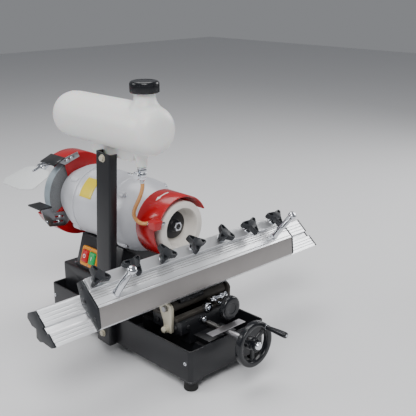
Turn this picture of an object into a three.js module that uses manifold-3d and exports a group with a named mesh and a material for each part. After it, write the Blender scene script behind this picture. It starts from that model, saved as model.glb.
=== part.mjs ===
// Wet grinding sharpener for planer blades. Millimetres, +Z up, operator on the -Y side,
// rail along X. The group is placed with its footprint centred on the origin, feet on z = 0.
// Inside, X = 0 is the spindle axis, Y = 0 the front of the tray and Z = 0 the floor.
import * as THREE from 'three';
import { mergeVertices } from 'three/addons/utils/BufferGeometryUtils.js';
import Module from 'manifold-3d';

const wasm = await Module();
wasm.setup();

// ---------------------------------------------------------------- driving dimensions

const GAP = 0.3;                       // clearance between neighbouring solids

const TRAY = { width: 216, length: 492, bottom: 22, top: 91, wall: 4 };
const FOOT = { radius: 15, height: 17.7, inset: 15 };

const SPINDLE_Z = 290;
const MOTOR_MIDDLE_Y = 355.85;         // the motor is the same at both ends about this plane
const HOUSING = { outer: 82, inner: 76, halfLength: 65.5 };
const SHAFT = { nose: 6, journal: 10, rotor: 43.7 };

const CUP = { radius: 57, front: 138, back: 188 };
const DRUM = { outer: 70, inner: 67, front: 136, cutFront: 149, back: 208.4, bore: 36, sheet: 3 };

const DISC = { radius: 85, front: 512, back: 538 };
const SHROUD = { outer: 102, wall: 3, front: 503, back: 560 };

const TANK = { x: -101.5, z: 517, radius: 49.4, front: 75, back: 396, wall: 2.5 };
const NECK = { y: 126, radius: 21, top: 603 };
const SPOUT = { y: 141, bottom: 440 };

const POST = { lean: 4, pivotY: 255, pivotZ: 45, width: 48, depth: 18.4, sheet: 3.6 };

const SCREW = { z: 97, radius: 6 };
const HANDWHEEL = { y: -69, ringRadius: 41.5, sectionRadius: 6 };
const PIN = { y: 98, z: 146, radius: 6 };
const LOCK = { x: 28, z: 135 };

const SLOPE = 40;                      // degrees, from the operator up towards the wheel
const RAIL = { x: 9, length: 746, y: 75.3, z: 169, width: 79 };
const CARRIAGE = { x: 6.5, length: 557, top: 38.7, endPlate: 5 };
const KNOB = { count: 7, pitch: 83, shift: -5.5, climb: 78.5, reach: 24 };

// ---------------------------------------------------------------- materials

const material = (color, roughness, metalness, opacity = 1) =>
  new THREE.MeshStandardMaterial({ color, roughness, metalness, opacity, transparent: opacity < 1 });

const BLACK_PAINT = material(0x1b1c1f, 0.45, 0.2);
const BLACK_PLASTIC = material(0x161616, 0.5, 0);
const RUBBER = material(0x101010, 0.9, 0);
const GREY_PAINT = material(0xb9b9bc, 0.4, 0.3);
const RED_PAINT = material(0xb3151c, 0.35, 0.2);
const STEEL = material(0xa9abae, 0.35, 0.9);
const CHROME = material(0xd8dadd, 0.15, 1);
const ALUMINIUM = material(0xc4c8cb, 0.35, 0.9);
const ZINC_CAST = material(0xb3ad96, 0.5, 0.6);
const LAMINATION = material(0x6f6a63, 0.6, 0.5);
const ABRASIVE_WHITE = material(0xd9d4cc, 0.95, 0);
const ABRASIVE_GREY = material(0x6d7175, 0.95, 0);
const TANK_PLASTIC = material(0xe9e9e4, 0.4, 0);
const AMBER_HOSE = material(0xc9924e, 0.3, 0);
const CLEAR_SHEET = material(0xdfe4e4, 0.2, 0, 0.5);
const SWITCH_AMBER = material(0xd98a2b, 0.45, 0);
const BUTTON_RED = material(0xc2201e, 0.4, 0);
const BUTTON_GREEN = material(0x1f9a4c, 0.4, 0);

// ---------------------------------------------------------------- geometry helpers

const DEGREE = Math.PI / 180;
const AXIS_X = new THREE.Vector3(1, 0, 0);
const AXIS_Y = new THREE.Vector3(0, 1, 0);
const AXIS_Z = new THREE.Vector3(0, 0, 1);

// A closed indexed geometry with shared vertices, no degenerate triangles and faces outward.
function closed(geometry) {
  const bare = geometry.clone();
  bare.deleteAttribute('normal');
  bare.deleteAttribute('uv');
  const merged = mergeVertices(bare, 1e-3);
  const position = merged.getAttribute('position');
  const corner = [new THREE.Vector3(), new THREE.Vector3(), new THREE.Vector3()];
  const kept = [];
  let volume = 0;
  for (let i = 0; i < merged.index.count; i += 3) {
    const ids = [0, 1, 2].map((k) => merged.index.getX(i + k));
    if (ids[0] === ids[1] || ids[1] === ids[2] || ids[2] === ids[0]) continue;
    ids.forEach((id, k) => corner[k].fromBufferAttribute(position, id));
    volume += corner[0].dot(corner[1].clone().cross(corner[2]));
    kept.push(ids);
  }
  const outward = volume > 0 ? kept : kept.map(([a, b, c]) => [a, c, b]);
  merged.setIndex(outward.flat());
  return merged;
}

function toManifold(geometry) {
  const source = closed(geometry);
  const vertProperties = new Float32Array(source.getAttribute('position').array);
  const triVerts = new Uint32Array(source.index.array);
  return new wasm.Manifold(new wasm.Mesh({ numProp: 3, vertProperties, triVerts }));
}

function fromManifold(manifold) {
  const mesh = manifold.getMesh();
  const geometry = new THREE.BufferGeometry();
  geometry.setAttribute('position', new THREE.BufferAttribute(mesh.vertProperties, 3));
  geometry.setIndex(new THREE.BufferAttribute(mesh.triVerts, 1));
  return geometry;
}

const join = (...parts) =>
  fromManifold(parts.map(toManifold).reduce((whole, part) => whole.add(part)));

const cut = (body, ...tools) =>
  fromManifold(tools.map(toManifold).reduce((whole, tool) => whole.subtract(tool), toManifold(body)));

// A box between two opposite corners.
function block(low, high) {
  const size = high.map((value, i) => value - low[i]);
  const middle = high.map((value, i) => (value + low[i]) / 2);
  return new THREE.BoxGeometry(...size).translate(...middle);
}

function rod(axis, radius, length, segments = 16) {
  return along(axis, new THREE.CylinderGeometry(radius, radius, length, segments));
}

// Turns a shape made around +Y so that it stands around another axis.
function along(axis, geometry) {
  const turn = new THREE.Quaternion().setFromUnitVectors(AXIS_Y, axis);
  return geometry.applyQuaternion(turn);
}

// Turned part: pairs of radius and distance along the axis.
function turned(axis, profile, segments = 24) {
  const closes = profile[0][0] > 0;
  const pairs = closes ? [...profile, profile[0]] : profile;
  const points = pairs.map(([radius, height]) => new THREE.Vector2(radius, height));
  return along(axis, new THREE.LatheGeometry(points, segments));
}

const outline = (points) => new THREE.Shape(points.map(([a, b]) => new THREE.Vector2(a, b)));

function hole(points) {
  return new THREE.Path(points.map(([a, b]) => new THREE.Vector2(a, b)));
}

function extruded(shape, depth, curveSegments = 12) {
  return new THREE.ExtrudeGeometry(shape, { depth, bevelEnabled: false, curveSegments });
}

// Outline in (Y, Z), extruded along X.
function prismX(shape, from, to, curveSegments) {
  const basis = new THREE.Matrix4().makeBasis(AXIS_Y, AXIS_Z, AXIS_X);
  return extruded(shape, to - from, curveSegments).applyMatrix4(basis).translate(from, 0, 0);
}

// Outline in (X, Z), extruded along Y.
function prismY(shape, from, to, curveSegments) {
  const basis = new THREE.Matrix4().makeBasis(AXIS_X, AXIS_Z, AXIS_Y.clone().negate());
  return extruded(shape, to - from, curveSegments).applyMatrix4(basis).translate(0, to, 0);
}

// Outline in (X, Y), extruded along Z.
function prismZ(shape, from, to, curveSegments) {
  return extruded(shape, to - from, curveSegments).translate(0, 0, from);
}

function ringSector(inner, outer, startDegrees, endDegrees) {
  const shape = new THREE.Shape();
  shape.absarc(0, 0, outer, startDegrees * DEGREE, endDegrees * DEGREE, false);
  shape.absarc(0, 0, inner, endDegrees * DEGREE, startDegrees * DEGREE, true);
  shape.closePath();
  return shape;
}

function part(group, name, geometry, surface) {
  const shell = closed(geometry);
  shell.computeVertexNormals();
  const mesh = new THREE.Mesh(shell, surface);
  mesh.name = name;
  group.add(mesh);
  return mesh;
}

function subgroup(parent, x = 0, y = 0, z = 0) {
  const group = new THREE.Group();
  group.position.set(x, y, z);
  parent.add(group);
  return group;
}

// ---------------------------------------------------------------- base and pedestal

function addTray(machine) {
  const half = TRAY.width / 2;
  const { wall, length, bottom, top } = TRAY;
  const shell = cut(
    block([-half, 0, bottom], [half, length, top]),
    block([-half + wall, wall, bottom + wall], [half - wall, length - wall, top + wall]),
  );
  const padSize = 36;
  const pads = [];
  for (const side of [-1, 1]) {
    for (const y of [0, length - padSize]) {
      const inner = side * (half - padSize);
      const outer = side * half;
      pads.push(block(
        [Math.min(inner, outer), y, FOOT.height + GAP],
        [Math.max(inner, outer), y + padSize, bottom + 1],
      ));
    }
  }
  part(machine, 'base_tray', join(shell, ...pads), BLACK_PAINT);
}

function addFeet(machine) {
  const profile = [[0, 0], [13, 0], [15, 3], [15, FOOT.height], [0, FOOT.height]];
  for (const [side, sideName] of [[-1, 'left'], [1, 'right']]) {
    for (const [y, endName] of [[FOOT.inset, 'front'], [TRAY.length - FOOT.inset, 'rear']]) {
      const foot = part(machine, `foot_${endName}_${sideName}`, turned(AXIS_Z, profile, 16), RUBBER);
      foot.position.set(side * (TRAY.width / 2 - FOOT.inset), y, 0);
    }
  }
}

function addPlinth(machine) {
  const floor = TRAY.bottom + TRAY.wall + GAP;
  const wall = 4;
  const shell = cut(
    block([-78, 272, floor], [78, 484, 139]),
    block([-78 + wall, 272 + wall, floor - wall], [78 - wall, 484 - wall, 139 - wall]),
  );
  part(machine, 'plinth', shell, BLACK_PAINT);
}

function addPedestal(machine) {
  const bottom = 139 + GAP;
  const outside = outline([[-70, bottom], [70, bottom], [46, 216], [-46, 216]]);
  const inside = outline([[-63, bottom - 1], [63, bottom - 1], [42, 198], [-42, 198]]);
  const saddle = rod(AXIS_Y, 83 + GAP, 200, 48).translate(0, MOTOR_MIDDLE_Y, SPINDLE_Z);
  const body = cut(prismY(outside, 284, 442), prismY(inside, 290, 436), saddle);
  part(machine, 'pedestal', body, BLACK_PAINT);
  const gland = [[4, 0], [13, 0], [13, 5], [10, 5], [10, 12], [8, 17], [4, 17]];
  part(machine, 'cable_gland', turned(AXIS_Y, gland, 12), BLACK_PLASTIC)
    .position.set(25, 442 + GAP, 165);
}

// Switch on the sloped left face of the pedestal. Local +Z points out of the face.
function addSwitch(machine) {
  const faceAngle = Math.atan2(24, 216 - 139);
  const panel = subgroup(machine, -60.5, 388, 170);
  panel.quaternion.setFromRotationMatrix(new THREE.Matrix4().makeBasis(
    new THREE.Vector3(0, -1, 0),
    new THREE.Vector3(Math.sin(faceAngle), 0, Math.cos(faceAngle)),
    new THREE.Vector3(-Math.cos(faceAngle), 0, Math.sin(faceAngle)),
  ));
  const pocket = (x) => block([x - 12, -15, 3], [x + 12, 15, 12]);
  const plate = cut(
    prismZ(outline([
      [-26, -23], [26, -23], [31, -18], [31, 18], [26, 23], [-26, 23], [-31, 18], [-31, -18],
    ]), 0.8, 8),
    pocket(-13.5),
    pocket(13.5),
  );
  part(panel, 'switch_plate', plate, SWITCH_AMBER);
  const button = () => join(
    block([-11.5, -14.5, 5.5], [11.5, 14.5, 11]),
    block([-9.5, -12.5, 10], [9.5, 12.5, 12.5]),
  );
  part(panel, 'stop_button', button(), BUTTON_RED).position.x = -13.5;
  part(panel, 'start_button', button(), BUTTON_GREEN).position.x = 13.5;
}

// ---------------------------------------------------------------- motor and wheels

const mirrored = (profile) =>
  profile.map(([radius, y]) => [radius, 2 * MOTOR_MIDDLE_Y - y]).reverse();

const BELL_PROFILE = [
  [20.3, 238], [20.3, 221], [13, 221], [13, 209], [62, 209], [73, 236], [81, 258],
  [83, 276], [83, 290], [77, 290], [77, 278], [67, 240], [58, 223], [28, 223], [28, 238],
];

const LUG = { from: 258, to: 283, radius: 8.5, circle: 78 };

// Bearing end of the motor with four screw lugs.
function bell(profile, lugFrom, lugTo) {
  const lugs = [45, 135, 225, 315].map((degrees) => {
    const x = LUG.circle * Math.cos(degrees * DEGREE);
    const z = LUG.circle * Math.sin(degrees * DEGREE);
    return rod(AXIS_Y, LUG.radius, lugTo - lugFrom, 10).translate(x, (lugFrom + lugTo) / 2, z);
  });
  return join(turned(AXIS_Y, profile, 28), ...lugs);
}

function addMotor(machine) {
  const spindle = subgroup(machine, 0, 0, SPINDLE_Z);
  const front = MOTOR_MIDDLE_Y - HOUSING.halfLength;
  const back = MOTOR_MIDDLE_Y + HOUSING.halfLength;
  const housing = [
    [HOUSING.inner, front], [HOUSING.outer, front], [HOUSING.outer, back], [HOUSING.inner, back],
  ];
  const far = 2 * MOTOR_MIDDLE_Y;
  part(spindle, 'motor_housing', turned(AXIS_Y, housing, 36), GREY_PAINT);
  part(spindle, 'front_bell', bell(BELL_PROFILE, LUG.from, LUG.to), GREY_PAINT);
  part(spindle, 'rear_bell', bell(mirrored(BELL_PROFILE), far - LUG.to, far - LUG.from), GREY_PAINT);
  const stator = [[44.3, 312], [75.6, 312], [75.6, 399.7], [44.3, 399.7]];
  part(spindle, 'stator', turned(AXIS_Y, stator, 28), LAMINATION);
  const bearing = [[SHAFT.journal + GAP, 221.4], [20, 221.4], [20, 236], [SHAFT.journal + GAP, 236]];
  part(spindle, 'front_bearing', turned(AXIS_Y, bearing, 20), STEEL);
  part(spindle, 'rear_bearing', turned(AXIS_Y, mirrored(bearing), 20), STEEL);
  return spindle;
}

function addRotor(spindle) {
  const shaft = [
    [0, 154], [SHAFT.nose, 154], [SHAFT.nose, 188.4], [9, 188.4], [9, 212], [SHAFT.journal, 212],
    [SHAFT.journal, 240], [14, 240], [14, 314], [SHAFT.rotor, 314], [SHAFT.rotor, 397.7],
    [14, 397.7], [14, 471.7], [SHAFT.journal, 471.7], [SHAFT.journal, 506.5], [24, 506.5],
    [24, DISC.front - GAP], [SHAFT.nose, DISC.front - GAP], [SHAFT.nose, 549], [0, 549],
  ];
  part(spindle, 'rotor_shaft', turned(AXIS_Y, shaft, 18), STEEL);
}

function addCupWheel(spindle) {
  const bore = SHAFT.nose + GAP;
  const wheel = [
    [bore, 172], [36, 172], [40, 166], [42, 141], [43.5, CUP.front], [55.5, CUP.front],
    [CUP.radius, 139.5], [CUP.radius, 184], [54, CUP.back], [bore, CUP.back],
  ];
  part(spindle, 'cup_wheel', turned(AXIS_Y, wheel, 32), ABRASIVE_WHITE);
  const flange = [
    [bore, 160], [13, 160], [14, 163.5], [29, 164.5], [30, 166], [30, 172 - GAP], [bore, 172 - GAP],
  ];
  part(spindle, 'cup_flange', turned(AXIS_Y, flange, 24), BLACK_PAINT);
  const nut = cut(
    rod(AXIS_Y, 11, 9, 6).translate(0, 155.2, 0),
    rod(AXIS_Y, bore, 12, 12).translate(0, 155.2, 0),
  );
  part(spindle, 'spindle_nut', nut, CHROME);
}

// Wedge of the plane between two directions, reaching past the drum.
function wedge(fromDegrees, toDegrees) {
  const reach = 2 * DRUM.outer;
  const rays = [fromDegrees, (fromDegrees + toDegrees) / 2, toDegrees].map((degrees) =>
    [reach * Math.cos(degrees * DEGREE), reach * Math.sin(degrees * DEGREE)]);
  return outline([[0, 0], ...rays]);
}

// Sheet drum, open at the lower right and cut back at the lower left.
function addCupGuard(spindle) {
  const { outer, inner, front, cutFront, back, bore, sheet } = DRUM;
  const drum = turned(AXIS_Y, [
    [bore, back], [outer, back], [outer, front], [inner, front], [inner, back - sheet], [bore, back - sheet],
  ], 40);
  const open = prismY(wedge(-98, 26), front - 1, back - sheet);
  const cutBack = prismY(wedge(167, 262), front - 1, cutFront);
  part(spindle, 'cup_guard', cut(drum, open, cutBack), RED_PAINT);
}

function addRearWheel(spindle) {
  const bore = SHAFT.nose + GAP;
  const { radius, front, back } = DISC;
  const disc = [[bore, front], [radius, front], [radius, back], [bore, back]];
  part(spindle, 'rear_wheel', turned(AXIS_Y, disc, 40), ABRASIVE_GREY);
  const from = back + GAP;
  const nut = [
    [bore, from], [26, from], [26, from + 3], [14, from + 5], [11, from + 5], [11, from + 13],
    [bore, from + 13],
  ];
  part(spindle, 'rear_wheel_nut', turned(AXIS_Y, nut, 18), STEEL);
}

// Shroud of the rear wheel, open towards the left where the rest stands.
function addRearGuard(spindle) {
  const { outer, wall, front, back } = SHROUD;
  const bore = 30;
  const section = [
    [0, back - wall], [outer - wall, back - wall], [outer - wall, front + wall], [bore, front + wall],
    [bore, front], [outer, front], [outer, back], [0, back],
  ];
  const drum = turned(AXIS_Y, section, 40);
  const mouth = outline([
    [-60, 112], [-43, 79], [-34, 41], [-51, 16], [-53, 0], [-50, -18], [-78, -35], [-125, -58],
    [-135, -50], [-135, 112],
  ]);
  part(spindle, 'rear_guard', cut(drum, prismY(mouth, front - 5, back + 5)), RED_PAINT);
}

// ---------------------------------------------------------------- rest, deflector and shield

const BRACKET = { front: 499.4, back: 502.4 };

function addToolRest(machine) {
  const arm = outline([
    [-118, 271], [-110, 245], [-98, 227], [-55, 222], [-38, 234], [-57, 257], [-84, 259], [-92, 274],
    [-118, 274],
  ]);
  arm.holes.push(hole([[-88, 234.5], [-60, 231.5], [-60, 235.5], [-88, 238.5]]));
  arm.holes.push(hole([[-82, 246.5], [-58, 243.5], [-58, 247.5], [-82, 250.5]]));
  const rest = join(
    prismY(arm, BRACKET.front, BRACKET.back),
    block([-122, BRACKET.front, 272], [-88, 553, 276]),
  );
  part(machine, 'tool_rest', rest, BLACK_PAINT);
}

const SHIELD_HINGE = { x: -92, y: 528, z: 368 };

function addSparkDeflector(machine) {
  const arm = outline([[-67, 380], [-8, 395], [-3, 383], [-45, 369]]);
  arm.holes.push(hole([[-46, 377], [-20, 384], [-19, 388], [-46, 381]]));
  const flap = outline([[-76, 371], [-44, 384.5], [-45, 387.5], [-77, 374]]);
  const { x, y, z } = SHIELD_HINGE;
  const ears = [-1, 1].map((side) => {
    const middle = y + side * 10;
    const ear = outline([[-74, 371.5], [-74, 375], [x, z + 5], [x - 5, z], [x, z - 5]]);
    return prismY(ear, middle - 3, middle + 3);
  });
  const pin = rod(AXIS_Y, 3, 26, 10).translate(x, y, z);
  const bracket = join(
    prismY(arm, BRACKET.front, BRACKET.back),
    prismY(flap, BRACKET.front, 558),
    ...ears,
    pin,
  );
  part(machine, 'spark_deflector', bracket, STEEL);
}

// Clear sheet on a knuckle that turns on the deflector's pin. Local -X points to the left.
function addEyeShield(machine) {
  const { x, y, z } = SHIELD_HINGE;
  const hinge = subgroup(machine, x, y, z);
  hinge.rotation.y = -22 * DEGREE;
  const sheet = outline([
    [-6.5, -44], [-6.5, 24], [-16, 44], [-70, 56], [-86, 42], [-86, -36], [-74, -70], [-24, -62],
  ]);
  const knuckle = rod(AXIS_Y, 6, 12, 14);
  const bore = rod(AXIS_Y, 3 + GAP, 14, 14);
  const arm = block([-18, -5, -1.5], [-4.5, 5, 1.5]);
  part(hinge, 'eye_shield', cut(join(prismZ(sheet, -1.5, 1.5), knuckle, arm), bore), CLEAR_SHEET);
}

// ---------------------------------------------------------------- coolant

function addTank(machine) {
  const body = subgroup(machine, TANK.x, 0, 0);
  const lying = (offset) => {
    const radius = TANK.radius - offset;
    const front = TANK.front + offset;
    const back = TANK.back - offset;
    const profile = [
      [0, front], [radius - 22, front + 1.5], [radius - 9, front + 7], [radius, front + 22],
      [radius, back - 40], [radius - 5, back - 22], [radius - 22, back - 4], [0, back],
    ];
    return turned(AXIS_Y, profile, 26).translate(0, 0, TANK.z);
  };
  const upright = (profile, y) => turned(AXIS_Z, profile, 20).translate(0, y, 0);
  const top = TANK.z + TANK.radius;
  const neck = [[0, top - 12], [30, top - 12], [27, top + 2], [NECK.radius, top + 10],
    [NECK.radius, NECK.top], [0, NECK.top]];
  const spout = [[0, SPOUT.bottom], [11, SPOUT.bottom], [12, 452], [19, 474], [0, 474]];
  const rib = outline([[158, 455], [164, 446], [292, 446], [300, 452], [300, 474], [158, 474]]);
  const outside = join(
    lying(0), upright(neck, NECK.y), upright(spout, SPOUT.y), prismX(rib, -6, 6),
  );
  const neckBore = [[0, top - 20], [19, top - 20], [19, NECK.top + 5], [0, NECK.top + 5]];
  const spoutBore = [[0, SPOUT.bottom - 5], [4, SPOUT.bottom - 5], [4, 480], [0, 480]];
  const hollow = cut(outside, lying(TANK.wall), upright(neckBore, NECK.y), upright(spoutBore, SPOUT.y));
  part(body, 'tank', hollow, TANK_PLASTIC);
  const bore = NECK.radius + 2 * GAP;
  const cap = [
    [0, NECK.top + GAP], [bore, NECK.top + GAP], [bore, 587], [28.5, 587], [28.5, 607], [26, 610], [0, 610],
  ];
  part(body, 'tank_cap', turned(AXIS_Z, cap, 28), BLACK_PLASTIC).position.y = NECK.y;
}

function addValve(machine) {
  const valve = subgroup(machine, TANK.x, SPOUT.y, 0);
  const cock = [[0, 407.1], [4.5, 407.1], [4.5, 414], [7, 415], [7, 419], [9, 420], [9, 429],
    [7, 430], [7, 436], [9, 437], [9, SPOUT.bottom - GAP], [0, SPOUT.bottom - GAP]];
  const stem = rod(AXIS_X, 4, 10, 12).translate(-6, 0, 424.5);
  part(valve, 'valve_body', join(turned(AXIS_Z, cock, 16), stem), CHROME);
  const lever = join(
    rod(AXIS_X, 8.5, 5, 16),
    prismX(outline([[0, -2.5], [28, -1.8], [28, 1.8], [0, 2.5]]), -1.5, 1.5),
  );
  part(valve, 'valve_lever', lever, CHROME).position.set(-14, 0, 424.5);
}

// Hose from the cock down beside the drum, then round and forward into the nozzle block.
const HOSE = {
  radius: 4,
  route: [
    [-101.5, 141, 406.6], [-101.5, 141.2, 399], [-102, 145, 386], [-101, 156, 368],
    [-97, 172, 349], [-92, 184, 331], [-86, 184, 317], [-81, 175, 311], [-78, 165, 311.5],
    [-76.5, 157, 314.2], [-76.5, 150.7, 314.5],
  ],
};

function addHose(machine) {
  const route = new THREE.CatmullRomCurve3(HOSE.route.map((point) => new THREE.Vector3(...point)));
  const section = new THREE.Shape().absarc(0, 0, HOSE.radius, 0, 2 * Math.PI, false);
  const tube = new THREE.ExtrudeGeometry(section, {
    extrudePath: route, steps: 14, curveSegments: 5, bevelEnabled: false,
  });
  part(machine, 'coolant_hose', tube, AMBER_HOSE);
}

function addNozzle(machine) {
  const drum = rod(AXIS_Y, DRUM.outer + GAP, 60, 48).translate(0, 140, SPINDLE_Z);
  const blockBody = cut(block([-84, 127, 305], [-62, 150, 323]), drum);
  const tip = rod(AXIS_X, 3.5, 24, 10).translate(-66, 131, 315);
  part(machine, 'coolant_nozzle', join(blockBody, tip), RED_PAINT);
}

// Bent channel that carries the tank, turned a little forward on its lower bolt.
function addPost(machine) {
  const post = subgroup(machine, 0, POST.pivotY, POST.pivotZ);
  post.rotation.x = POST.lean * DEGREE;
  const outer = -TRAY.width / 2 - GAP - POST.depth;
  const inner = -TRAY.width / 2 - GAP;
  const near = 8 - POST.width / 2;
  const far = 8 + POST.width / 2;
  const { sheet } = POST;
  const bend = 4;
  const channel = outline([
    [inner, near], [inner, near + sheet], [outer + sheet, near + sheet], [outer + sheet, far - sheet],
    [inner, far - sheet], [inner, far], [outer + bend, far], [outer, far - bend],
    [outer, near + bend], [outer + bend, near],
  ]);
  const spacer = (z) =>
    rod(AXIS_X, 8, POST.depth - 1, 12).translate((outer + inner) / 2, 0, z);
  part(post, 'post', join(prismZ(channel, -23, 412), spacer(0), spacer(401)), BLACK_PAINT);
}

// ---------------------------------------------------------------- cross-slide

function addSlideWay(machine) {
  const floor = TRAY.bottom + TRAY.wall + GAP;
  const way = outline([
    [-36, floor], [36, floor], [36, 64], [28, 64], [40, 84], [-40, 84], [-28, 64], [-36, 64],
  ]);
  const lip = TRAY.top + GAP;
  const whole = join(
    prismY(way, 17, 236),
    block([-48.5, -2, lip], [48.5, 18, 106]),
    block([-48.5, TRAY.wall + GAP, floor], [48.5, 18, lip + 1]),
  );
  const bore = rod(AXIS_Y, SCREW.radius + GAP, 60, 16).translate(0, 8, SCREW.z);
  part(machine, 'slide_way', cut(whole, bore), BLACK_PAINT);
}

function addSaddle(machine) {
  const section = outline([
    [-76, 93.5], [-52, 93.5], [-52, 66], [-29.8, 66], [-41, 84.5], [41, 84.5], [29.8, 66], [52, 66],
    [52, 93.5], [76, 93.5], [76, 121], [-76, 121],
  ]);
  const bore = rod(AXIS_Y, SCREW.radius + 0.6, 200, 16).translate(0, 100, SCREW.z);
  part(machine, 'saddle', cut(prismY(section, 62, 150), bore), BLACK_PAINT);
}

function addLeadScrew(machine) {
  const { radius } = SCREW;
  const profile = [
    [0, -80], [radius, -80], [radius, -14], [7.2, -14], [7.2, -2 - GAP], [radius, -2 - GAP],
    [radius, 18 + GAP], [9, 18 + GAP], [9, 21.5], [radius, 21.5], [radius, 224], [0, 224],
  ];
  part(machine, 'lead_screw', turned(AXIS_Y, profile, 16), STEEL).position.z = SCREW.z;
}

function addHandwheel(machine) {
  const wheel = subgroup(machine, 0, HANDWHEEL.y, SCREW.z);
  const { ringRadius, sectionRadius } = HANDWHEEL;
  const out = ringRadius + sectionRadius;
  const inner = ringRadius - sectionRadius;
  const ring = [
    [inner, -4.5], [inner + 2, -7], [out - 1.5, -7], [out, -5],
    [out, 5], [out - 1.5, 7], [inner + 2, 7], [inner, 4.5],
  ];
  const hub = turned(AXIS_Y, [[0, -12], [11, -12], [14, 2], [14, 14], [0, 14]], 16);
  const spokes = [90, 210, 330].map((angle) =>
    block([8, -3, -5], [ringRadius - 2, 4, 5]).rotateY(angle * DEGREE));
  const studAt = ringRadius * Math.SQRT1_2;
  const stud = rod(AXIS_Y, 2.6, 60, 10).translate(studAt, -30, studAt);
  const bore = rod(AXIS_Y, SCREW.radius + GAP, 60, 16);
  const casting = cut(join(turned(AXIS_Y, ring, 28), hub, ...spokes, stud), bore);
  part(wheel, 'handwheel', casting, BLACK_PLASTIC);
  const grip = [
    [3, -59], [5.6, -59], [6.4, -56.5], [6.2, -44], [5.2, -24], [4.6, -14], [5.4, -9], [3, -9],
  ];
  const handle = part(wheel, 'handwheel_grip', turned(AXIS_Y, grip, 14), BLACK_PLASTIC);
  handle.position.set(studAt, 0, studAt);
}

// ---------------------------------------------------------------- tilting rail

function addTiltBracket(machine) {
  const cheek = outline([
    [81, 94], [102, 94], [107, 118], [117, 140], [117, 148], [108, 158], [88, 158], [80, 148],
  ]);
  const parts = [
    block([-79, 70, 121 + GAP], [79, 148, 129]),
    block([-79, 70, 121 + GAP], [79, 76, 147]),
    prismX(cheek, -86, -78.5),
    prismX(cheek, 78.5, 86),
    prismX(outline([[82, 121.3], [106, 121.3], [106, 129], [82, 129]]), -80, 80),
  ];
  const pinBore = rod(AXIS_X, PIN.radius + GAP, 200, 16).translate(0, PIN.y, PIN.z);
  const knobBore = rod(AXIS_Y, 5 + GAP, 30, 12).translate(LOCK.x, 73, LOCK.z);
  part(machine, 'tilt_bracket', cut(join(...parts), pinBore, knobBore), ZINC_CAST);
  part(machine, 'tilt_pin', rod(AXIS_X, PIN.radius, 184, 16), STEEL).position.set(0, PIN.y, PIN.z);
  const knob = [
    [0, -61], [20, -61], [25, -57], [26, -52], [26, -47], [10, -46], [5, -44], [5, 4], [0, 4],
  ];
  part(machine, 'tilt_lock_knob', turned(AXIS_Y, knob, 22), BLACK_PLASTIC).position.set(LOCK.x, 79, LOCK.z);
}

// Group whose local Y climbs the slope and whose local Z is the slope's normal.
function addIncline(machine) {
  const incline = subgroup(machine, 0, RAIL.y, RAIL.z);
  incline.rotation.x = SLOPE * DEGREE;
  return incline;
}

const GROOVE = { from: 30, to: 44, depth: 6 };
const RAIL_SECTION = [
  [0, 0], [GROOVE.from, 0], [GROOVE.from, -GROOVE.depth], [GROOVE.to, -GROOVE.depth],
  [GROOVE.to, 0], [RAIL.width, 0], [91, -25], [86, -34], [68, -34], [56, -26], [45, -40],
  [34, -37], [27, -27], [5, -11],
];

function addRail(incline) {
  const half = RAIL.length / 2;
  const plate = 5;
  const section = outline(RAIL_SECTION);
  const rail = subgroup(incline, RAIL.x, 0, 0);
  part(rail, 'rail', prismX(section, plate + GAP - half, half - plate - GAP), ALUMINIUM);
  part(rail, 'rail_end_left', prismX(section, -half, plate - half), BLACK_PLASTIC);
  part(rail, 'rail_end_right', prismX(section, half - plate, half), BLACK_PLASTIC);
}

// Table on the tilt pin, shaped to the underside of the rail.
function addTiltTable(incline) {
  const turn = SLOPE * DEGREE;
  const dy = PIN.y - RAIL.y;
  const dz = PIN.z - RAIL.z;
  const u = dy * Math.cos(turn) + dz * Math.sin(turn);
  const w = dz * Math.cos(turn) - dy * Math.sin(turn);
  const hub = rod(AXIS_X, 13, 148, 20).translate(0, u, w);
  const web = outline([[u - 3, w - 6], [u + 4, w - 12], [40, -52], [64, -46], [64, -20], [u, -20]]);
  const railSpace = prismX(outline(RAIL_SECTION), -200, 200).translate(0, 0, -0.4);
  const bore = rod(AXIS_X, PIN.radius + 0.4, 200, 16).translate(0, u, w);
  part(incline, 'tilt_table', cut(join(hub, prismX(web, -70, 70)), railSpace, bore), BLACK_PAINT);
}

// ---------------------------------------------------------------- blade carriage

const CARRIAGE_OUTLINE = [
  [0, 0.5], [59.6, 0.5], [95.4, 22.3], [91, CARRIAGE.top], [27.5, CARRIAGE.top], [-1, 10.6],
];
// The key that runs in the rail's groove.
const KEY = { from: GROOVE.from + 0.4, to: GROOVE.to - 0.4, foot: 0.6 - GROOVE.depth };
const CARRIAGE_SECTION = [
  CARRIAGE_OUTLINE[0], [KEY.from, 0.5], [KEY.from, KEY.foot], [KEY.to, KEY.foot], [KEY.to, 0.5],
  ...CARRIAGE_OUTLINE.slice(1),
];
const CLAMP_BAR = { from: 65, to: 90, thickness: 6 };

function addCarriage(incline) {
  const carriage = subgroup(incline, CARRIAGE.x, 0, 0);
  const half = CARRIAGE.length / 2;
  const plate = CARRIAGE.endPlate;
  const core = half - plate - GAP;
  part(carriage, 'carriage', prismX(outline(CARRIAGE_SECTION), -core, core), ALUMINIUM);
  const end = outline(CARRIAGE_OUTLINE);
  part(carriage, 'carriage_end_left', prismX(end, -half, plate - half), BLACK_PLASTIC);
  part(carriage, 'carriage_end_right', prismX(end, half - plate, half), BLACK_PLASTIC);
  const seat = CARRIAGE.top + GAP;
  const { from, to, thickness } = CLAMP_BAR;
  part(carriage, 'clamp_bar', block([-core, from, seat], [core, to, seat + thickness]), ALUMINIUM);
  addClampKnobs(carriage, seat + thickness + GAP);
  addPushPins(carriage, seat);
}

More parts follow.
